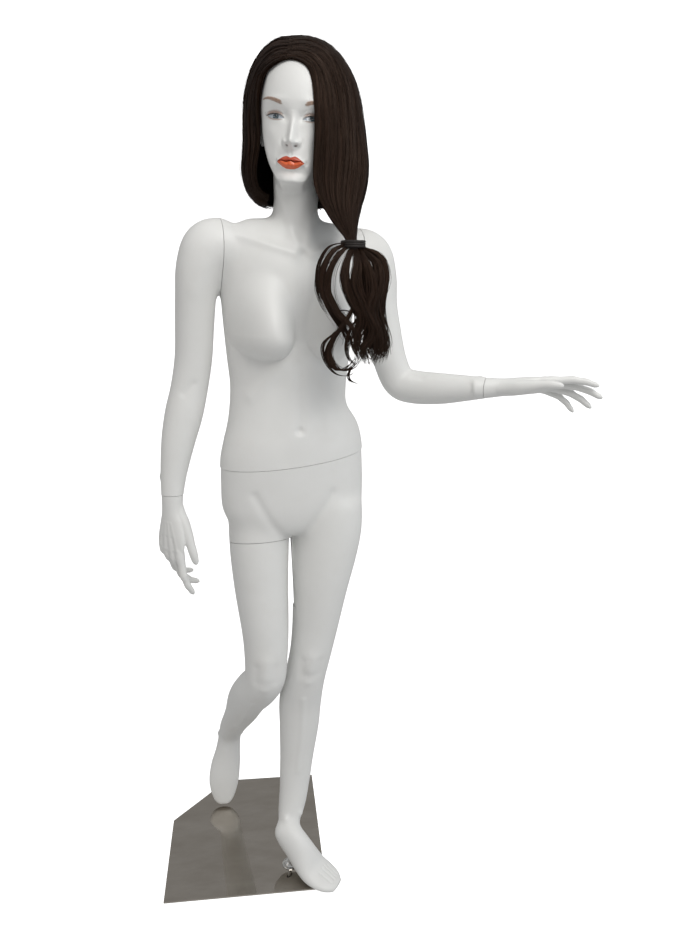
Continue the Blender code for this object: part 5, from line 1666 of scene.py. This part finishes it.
def under_layer(name, sheet, lift, mat):
    """Closed thin layer just under the locks, so that no skin shows between them."""
    across = 6 * (len(sheet) - 1)
    down = 40
    thickness = 2.6
    points, fibres = [], []
    for depth in (lift, lift - thickness):
        for i in range(across + 1):
            for j in range(down + 1):
                u, t = i / 6.0, j / down * 0.985
                place, normal = sheet_frame(sheet, u, t)
                points.append(from_head(*(place + normal * depth * min(1.0, 0.3 + 2.0 * t))))
                fibres.append((u * 5.0, j / 6.0, depth))
    row = down + 1
    size = (across + 1) * row
    faces = []
    for i in range(across):
        for j in range(down):
            a, b, c, d = i * row + j, (i + 1) * row + j, (i + 1) * row + j + 1, i * row + j + 1
            faces.append((a, b, c, d))
            faces.append((d + size, c + size, b + size, a + size))
    rim = ([i * row for i in range(across + 1)]
           + [across * row + j for j in range(1, row)]
           + [i * row + down for i in range(across - 1, -1, -1)]
           + [j for j in range(down - 1, 0, -1)])
    for first, second in zip(rim, rim[1:] + rim[:1]):
        faces.append((first, second, second + size, first + size))
    hair_mesh(name, points, faces, fibres, mat)


# Clumps of the ponytail: x, z and how far forward of the tie, in metres.
CLUMPS = metres([
    [(186, 1480, 4), (158, 1468, 16), (140, 1438, 22), (136, 1404, 24), (145, 1376, 26),
     (160, 1352, 28), (176, 1330, 30), (190, 1306, 32), (196, 1280, 30)],
    [(190, 1478, 6), (168, 1462, 20), (149, 1430, 28), (146, 1396, 30), (158, 1366, 34),
     (180, 1342, 42), (204, 1320, 46), (222, 1296, 42)],
    [(204, 1384, 40), (190, 1358, 44), (176, 1332, 40), (160, 1308, 34), (152, 1284, 32),
     (156, 1262, 32), (170, 1249, 32), (190, 1248, 32), (206, 1262, 32), (214, 1284, 30)],
    [(195, 1476, 8), (181, 1450, 30), (177, 1416, 40), (192, 1380, 46), (211, 1346, 46),
     (203, 1312, 42), (209, 1282, 40), (222, 1258, 36)],
    [(199, 1474, 10), (200, 1444, 38), (197, 1404, 46), (216, 1362, 48), (233, 1322, 44),
     (217, 1288, 44), (230, 1256, 38)],
    [(202, 1474, 8), (216, 1446, 36), (227, 1404, 44), (222, 1362, 46), (240, 1322, 42),
     (247, 1288, 38), (240, 1256, 36)],
    [(205, 1474, 4), (236, 1450, 24), (241, 1410, 34), (233, 1366, 36), (248, 1326, 30),
     (256, 1288, 28), (249, 1258, 28)],
    [(206, 1476, 0), (244, 1462, 10), (256, 1424, 16), (246, 1380, 20), (252, 1334, 20),
     (264, 1296, 18), (258, 1262, 20)],
    [(200, 1472, 0), (212, 1440, 6), (212, 1400, 12), (222, 1356, 18), (231, 1318, 22),
     (228, 1284, 22), (238, 1254, 20)]
])
# How many locks each clump has and how far they spread, in metres.
CLUMP_LOCKS = [(58, 0.0062), (40, 0.0056), (26, 0.0044), (62, 0.0090), (74, 0.0105), (74, 0.0110),
               (74, 0.0105), (60, 0.0090), (64, 0.0130)]
LOOSE = metres([
    [(188, 1482, 10), (150, 1474, 20), (131, 1444, 22), (128, 1404, 24), (138, 1368, 24),
     (156, 1344, 24)],
    [(180, 1336, 38), (164, 1318, 34), (142, 1296, 32), (146, 1266, 32), (168, 1240, 32),
     (196, 1238, 32), (212, 1258, 30)],
    [(206, 1352, 44), (190, 1322, 40), (186, 1290, 36), (196, 1266, 32), (214, 1256, 30)],
    [(196, 1250, 32), (192, 1236, 30), (198, 1226, 30), (214, 1219, 30)],
    [(206, 1476, 0), (244, 1466, 6), (262, 1424, 10), (258, 1370, 12), (266, 1320, 14),
     (262, 1280, 16)],
    [(158, 1346, 28), (172, 1360, 36), (196, 1356, 44), (220, 1340, 46), (236, 1312, 42)]
])


def tail_point(x, z, forward):
    return Vector((x, TIE_AT.y - forward, z))


def tail_lock(points, faces, fibres, path, offset, width, swirl, end, sides=4):
    """One lock of a ponytail clump, gathered at the tie and loosening downwards."""
    steps = max(18, 4 * len(path))
    rows = spline(path, steps)
    rows = rows[:max(6, int(steps * end))]
    middles = []
    shift = rng.random() * 20.0
    for k, row in enumerate(rows):
        t = k / (steps - 1)
        loosen = min(1.0, 0.45 + 1.4 * t)
        angle = swirl[0] + swirl[1] * t
        side = Vector((math.cos(angle), math.sin(angle) * 0.8, 0.15 * math.sin(angle * 1.7)))
        middles.append(tail_point(*row) + side * (offset * loosen))
    ribbon = []
    for k, middle in enumerate(middles):
        ahead = middles[min(k + 1, len(middles) - 1)] - middles[max(k - 1, 0)]
        over = (TO_FRONT + X_SIDE * 0.3 * math.sin(swirl[0])).normalized()
        across = ahead.cross(over).normalized()
        over = across.cross(ahead).normalized()
        t = k / (len(middles) - 1)
        size = np.interp(t, [0.0, 0.15, 0.6, 1.0], [0.7, 1.0, 0.9, 0.12])
        ribbon.append((middle, across * (width * size / 2), over * (width * size * 0.22)))
    tube_along(points, faces, ribbon, sides, fibres, shift)


def make_ponytail():
    points, faces, fibres = [], [], []
    for clump, (count, thick) in zip(CLUMPS, CLUMP_LOCKS):
        middle = spline(clump, 12)
        for _ in range(count):
            path = middle.copy()
            bend = rng.gauss(0.0, 0.0058)
            phase = rng.uniform(0.0, 2 * math.pi)
            level = np.linspace(0.0, 1.0, len(path))
            path[:, 0] += bend * np.sin(phase + level * 9.0) * level
            if rng.random() < 0.30:
                tip = np.clip((level - 0.82) / 0.18, 0.0, 1.0)
                path[:, 0] += rng.choice((-1, 1)) * 0.010 * tip ** 1.5
                path[:, 1] += 0.012 * tip ** 2.2
            swirl = (rng.uniform(0, 2 * math.pi), rng.gauss(0.0, 2.2))
            tail_lock(points, faces, fibres, path, thick * math.sqrt(rng.random()),
                      rng.uniform(0.0016, 0.0040), swirl, rng.uniform(0.84, 1.0))
    hair_mesh("wig_tail", points, faces, fibres, HAIR_FIBRE, ("wig_ponytail",))
    points, faces, fibres = [], [], []
    for path in LOOSE:
        for _ in range(18):
            swirl = (rng.uniform(0, 2 * math.pi), rng.gauss(0.0, 1.2))
            tail_lock(points, faces, fibres, path, 0.0040 * math.sqrt(rng.random()),
                      rng.uniform(0.0010, 0.0020), swirl, rng.uniform(0.80, 1.0), 3)
    for path in CLUMPS:
        for _ in range(7):
            swirl = (rng.uniform(0, 2 * math.pi), rng.gauss(0.0, 2.4))
            tail_lock(points, faces, fibres, path, rng.uniform(0.010, 0.018),
                      rng.uniform(0.0005, 0.0009), swirl, rng.uniform(0.75, 1.0), 3)
    hair_mesh("wig_tail_strands", points, faces, fibres, HAIR_FIBRE, ("wig_curl",))


def make_tie():
    """Fabric-covered elastic wound three times round the ponytail."""
    points, faces, fibres = [], [], []
    rows = []
    turns, steps = 3, 144
    for k in range(steps):
        angle = 2 * math.pi * turns * k / (steps - 1)
        out = Vector((math.cos(angle), math.sin(angle), 0.0))
        radius = 0.0205 + 0.0012 * math.sin(3 * angle)
        lift = UP * (0.0062 * (k / (steps - 1) - 0.5) * 2)
        rows.append((TIE_AT + out * radius + lift, out * 0.0032, UP * 0.0027))
    tube_along(points, faces, rows, 12, fibres)
    hair_mesh("wig_tie", points, faces, fibres, TIE_CLOTH, ("hair_tie",))


def cap_solid(bm, grow, lowest):
    """The cranium grown by a gap and carried straight down, so the wig can lift off."""
    bands = 20
    half_x, half_y, half_z = (value + grow for value in CRANIUM_SIZE)
    low = CRANIUM_AT + UP * (lowest - CRANIUM_AT.z)
    rings = [ring_points(low, UP, HEAD_SIDE, (half_x, half_y, half_y), 96)]
    for angle in [math.pi / 2 * i / bands for i in range(bands)]:
        wide = math.cos(angle)
        centre = CRANIUM_AT + UP * (half_z * math.sin(angle))
        widths = (half_x * wide, half_y * wide, half_y * wide)
        rings.append(ring_points(centre, UP, HEAD_SIDE, widths, 96))
    skin(bm, rings)


def make_cap():
    cap = drawn("wig_cap_net", lambda bm: cap_solid(bm, 0.0046, 1.690))
    cut(cap, lambda bm: cap_solid(bm, 0.0030, 1.640))

    face_gap = from_head(0.0, 40.0, 34.0)
    forward = HEAD_FRONT * 0.94 - UP * 0.33
    cut(cap, lambda bm: slab(bm, face_gap, forward, HEAD_SIDE, (0.4, 0.6, 0.3)))
    finished(cap, "wig", NET, ("wig_cap",))


def make_hair():
    """Under layers, broad locks, fine locks and single hairs on both sides of the parting."""
    sheets = {"left": sheet_of(LEFT_GUIDES), "right": sheet_of(RIGHT_GUIDES)}
    for side, sheet in sheets.items():
        under_layer("wig_under_" + side, sheet, -4.0, HAIR_UNDER_SHADED)
    comb("wig_hair_left", sheets["left"], 300, 5.2, (-3.0, 2.2), nodes=("wig_hair",))
    comb("wig_hair_right", sheets["right"], 460, 5.6, (-3.0, 2.6))
    comb("wig_fine_left", sheets["left"], 210, 1.3, (1.0, 3.4), 0.35, (0.75, 1.0), 1.8, 3)
    comb("wig_fine_right", sheets["right"], 330, 1.4, (1.0, 3.8), 0.35, (0.80, 1.0), 2.0, 3)
    flyaways(sheets["left"], sheets["right"])


def flyaways(left, right):
    points, faces, fibres = [], [], []
    for number in range(70):
        sheet = left if number % 2 else right
        u = rng.uniform(0.0, len(sheet) - 1.0)
        start = rng.uniform(0.0, 0.6)
        span = rng.uniform(0.25, 0.45)
        bow = rng.uniform(3.0, 8.0)
        places, normals = [], []
        for k in range(16):
            t = k / 15
            place, normal = sheet_frame(sheet, u + 0.4 * t, min(start + span * t, 1.0))
            places.append(place + normal * (1.5 + bow * math.sin(math.pi * t * 0.9)))
            normals.append(normal)
        tube_along(points, faces, lock_rows(places, normals, 0.42, 0.42, 0.8, 0.3), 3, fibres,
                   rng.random() * 20.0)
    hair_mesh("wig_flyaways", points, faces, fibres, HAIR_FIBRE)


# ---------------------------------------------------------------- the figure
LASH = lash_fibre()
NET = cap_netting()
TIE_CLOTH = tie_cloth()

finished(make_lower_shell(), "lower_body", PAINT, ("lower_body_shell",))
finished(make_right_leg(), "right_leg", PAINT, ("right_leg_shell",))
upper = make_upper_shell()
finished(upper, "upper_body", PAINT, ("upper_body_shell",))
LIMBS = {
    "right": (RIGHT_ARM, RIGHT_ARM_FACING, R_SHOULDER_AT, R_SHOULDER_OUT, R_WRIST_AT,
              R_WRIST_OUT, RIGHT_HAND, RIGHT_ARM_LINES),
    "left": (LEFT_ARM, LEFT_ARM_FACING, L_SHOULDER_AT, L_SHOULDER_OUT, L_WRIST_AT,
             L_WRIST_OUT, LEFT_HAND, LEFT_ARM_LINES),
}
for side, limb_facts in LIMBS.items():
    arm = side + "_arm"
    finished(make_arm(arm, *limb_facts), arm, PAINT, (arm + "_shell",))
for side, limb_facts in LIMBS.items():
    *_, wrist_at, wrist_out, shape, _ = limb_facts
    hand = side + "_hand"
    finished(make_hand(hand + "_skin", shape, wrist_at, wrist_out), hand, PAINT,
             (hand,))

head_skin = Skin(upper)
for side, sign in (("right", -1.0), ("left", 1.0)):
    paint_eye(head_skin, side, sign)
    paint_brow(head_skin, side, sign)
    make_lashes(head_skin, side, sign)
paint_lips(head_skin)
paint_nostril_shade(head_skin)

make_cap()
make_hair()
make_ponytail()
make_tie()


# ---------------------------------------------------------------- carried-over CAD nodes
def dress(names, mat):
    for name in names:
        node = bpy.data.objects[name]
        node.data.materials.clear()
        node.data.materials.append(mat)


JOINT_NAMES = ("waist", "thigh", "right_shoulder", "left_shoulder")
dress([name + part for name in JOINT_NAMES for part in ("_socket_board", "_stud_board")], BIRCH)
dress([name + part for name in JOINT_NAMES for part in ("_key_plate", "_stud")], STEEL)
dress(["right_wrist_socket_ring", "left_wrist_socket_ring", "right_wrist_spigot",
       "left_wrist_spigot", "rod_socket", "rod_bolt", "ankle_screw"], STEEL)
dress(["rod_flange", "foot_rod"], CHROME)
dress(["base_plate"], MIRROR)
dress(["base_pad"], FOAM)
for name in ("base_plate", "rod_flange", "foot_rod"):
    node = bpy.data.objects[name]
    bevel = node.modifiers.new("edge", "BEVEL")
    bevel.width = 0.0006
    bevel.segments = 3
    bevel.limit_method = "ANGLE"
    node.data.shade_smooth()
    node.data.set_sharp_from_angle(angle=math.radians(35))


# ---------------------------------------------------------------- floor, light and camera
def floor_material():
    graph = Graph("floor_white")
    tone = graph.noise(1.5, 3.0)
    colour = graph.ramp(tone, [(0.3, (0.90, 0.90, 0.90)), (0.7, (0.93, 0.93, 0.93))])
    return graph.finish(colour, graph.span(tone, 0.75, 0.85), Emission_Strength=0.88,
                        Emission_Color=(1.0, 1.0, 1.0, 1.0))


def make_stage():
    """Round cove: a flat floor that bends up into a wall, seen but lighting nothing."""
    flat, bend, top, sides = 4.4, 1.6, 6.0, 96
    profile = [(0.001, 0.0)]
    for i in range(13):
        angle = math.pi / 2 * i / 12
        profile.append((flat + bend * math.sin(angle), bend - bend * math.cos(angle)))
    profile.append((flat + bend, top))
    angles = [2 * math.pi * k / sides for k in range(sides)]
    points = [(radius * math.cos(angle), radius * math.sin(angle), z)
              for radius, z in profile for angle in angles]
    faces = [(i * sides + k, i * sides + (k + 1) % sides, (i + 1) * sides + (k + 1) % sides,
              (i + 1) * sides + k) for i in range(len(profile) - 1) for k in range(sides)]
    floor = mesh_object("floor", points, faces)
    floor.data.materials.append(floor_material())
    floor.visible_diffuse = floor.visible_glossy = floor.visible_shadow = False


def area_light(name, at, aim, size, power, colour):
    light = bpy.data.lights.new(name, "AREA")
    light.shape = "RECTANGLE"
    light.size, light.size_y = size
    light.energy = power
    light.color = colour
    obj = bpy.data.objects.new(name, light)
    obj.location = at
    obj.rotation_euler = (Vector(aim) - Vector(at)).to_track_quat("-Z", "Y").to_euler()
    bpy.context.scene.collection.objects.link(obj)


def make_world():
    """Soft studio surround: pale floor below, dimmer walls, brightest straight above."""
    world = bpy.data.worlds.new("studio")
    world.use_nodes = True
    nodes, links = world.node_tree.nodes, world.node_tree.links
    place = nodes.new("ShaderNodeTexCoord")
    split = nodes.new("ShaderNodeSeparateXYZ")
    ramp = nodes.new("ShaderNodeMapRange")
    shade = nodes.new("ShaderNodeValToRGB")
    ramp.inputs["From Min"].default_value = -1.0
    links.new(place.outputs["Generated"], split.inputs[0])
    links.new(split.outputs["Z"], ramp.inputs["Value"])
    links.new(ramp.outputs["Result"], shade.inputs["Fac"])
    stops = ((0.0, 0.52), (0.49, 0.42), (0.60, 0.34), (0.88, 0.37), (1.0, 0.95))
    elements = shade.color_ramp.elements
    while len(elements) < len(stops):
        elements.new(0.5)
    for element, (at, value) in zip(elements, stops):
        element.position = at
        element.color = (value, value, value, 1.0)
    links.new(shade.outputs["Color"], nodes["Background"].inputs["Color"])
    bpy.context.scene.world = world


CAMERA_AT = (-0.005, -1.470, 1.446)
HEADING, PITCH, ROLL = 0.1585, 0.288, 0.0468
SENSOR = 36.0
FOCAL_SHARE = 687.0 / 933.0


def make_camera():
    forward = Vector((math.sin(HEADING) * math.cos(PITCH), math.cos(HEADING) * math.cos(PITCH),
                      -math.sin(PITCH)))
    right = Vector((math.cos(HEADING), -math.sin(HEADING), 0.0))
    above_it = right.cross(forward)
    x = right * math.cos(ROLL) + above_it * math.sin(ROLL)
    y = above_it * math.cos(ROLL) - right * math.sin(ROLL)
    turn = Matrix((x, y, -forward)).transposed()
    camera = bpy.data.cameras.new("camera")
    camera.sensor_width = SENSOR
    camera.lens = SENSOR * FOCAL_SHARE
    camera.clip_start = 0.02
    obj = bpy.data.objects.new("camera", camera)
    obj.matrix_world = Matrix.Translation(CAMERA_AT) @ turn.to_4x4()
    bpy.context.scene.collection.objects.link(obj)
    bpy.context.scene.camera = obj


make_stage()
make_world()
area_light("key", (0.9, -1.9, 3.4), (0.1, 0.0, 1.3), (1.8, 1.8), 50.0, (1.0, 0.985, 0.96))
area_light("fill", (-2.4, -1.6, 1.8), (0.1, 0.0, 1.0), (2.2, 2.2), 5.0, (1.0, 0.90, 0.80))
area_light("side", (2.8, -0.9, 1.7), (0.1, 0.0, 1.1), (1.6, 2.2), 9.0, (0.84, 0.92, 1.0))
make_camera()
bpy.context.scene.view_settings.view_transform = "Standard"
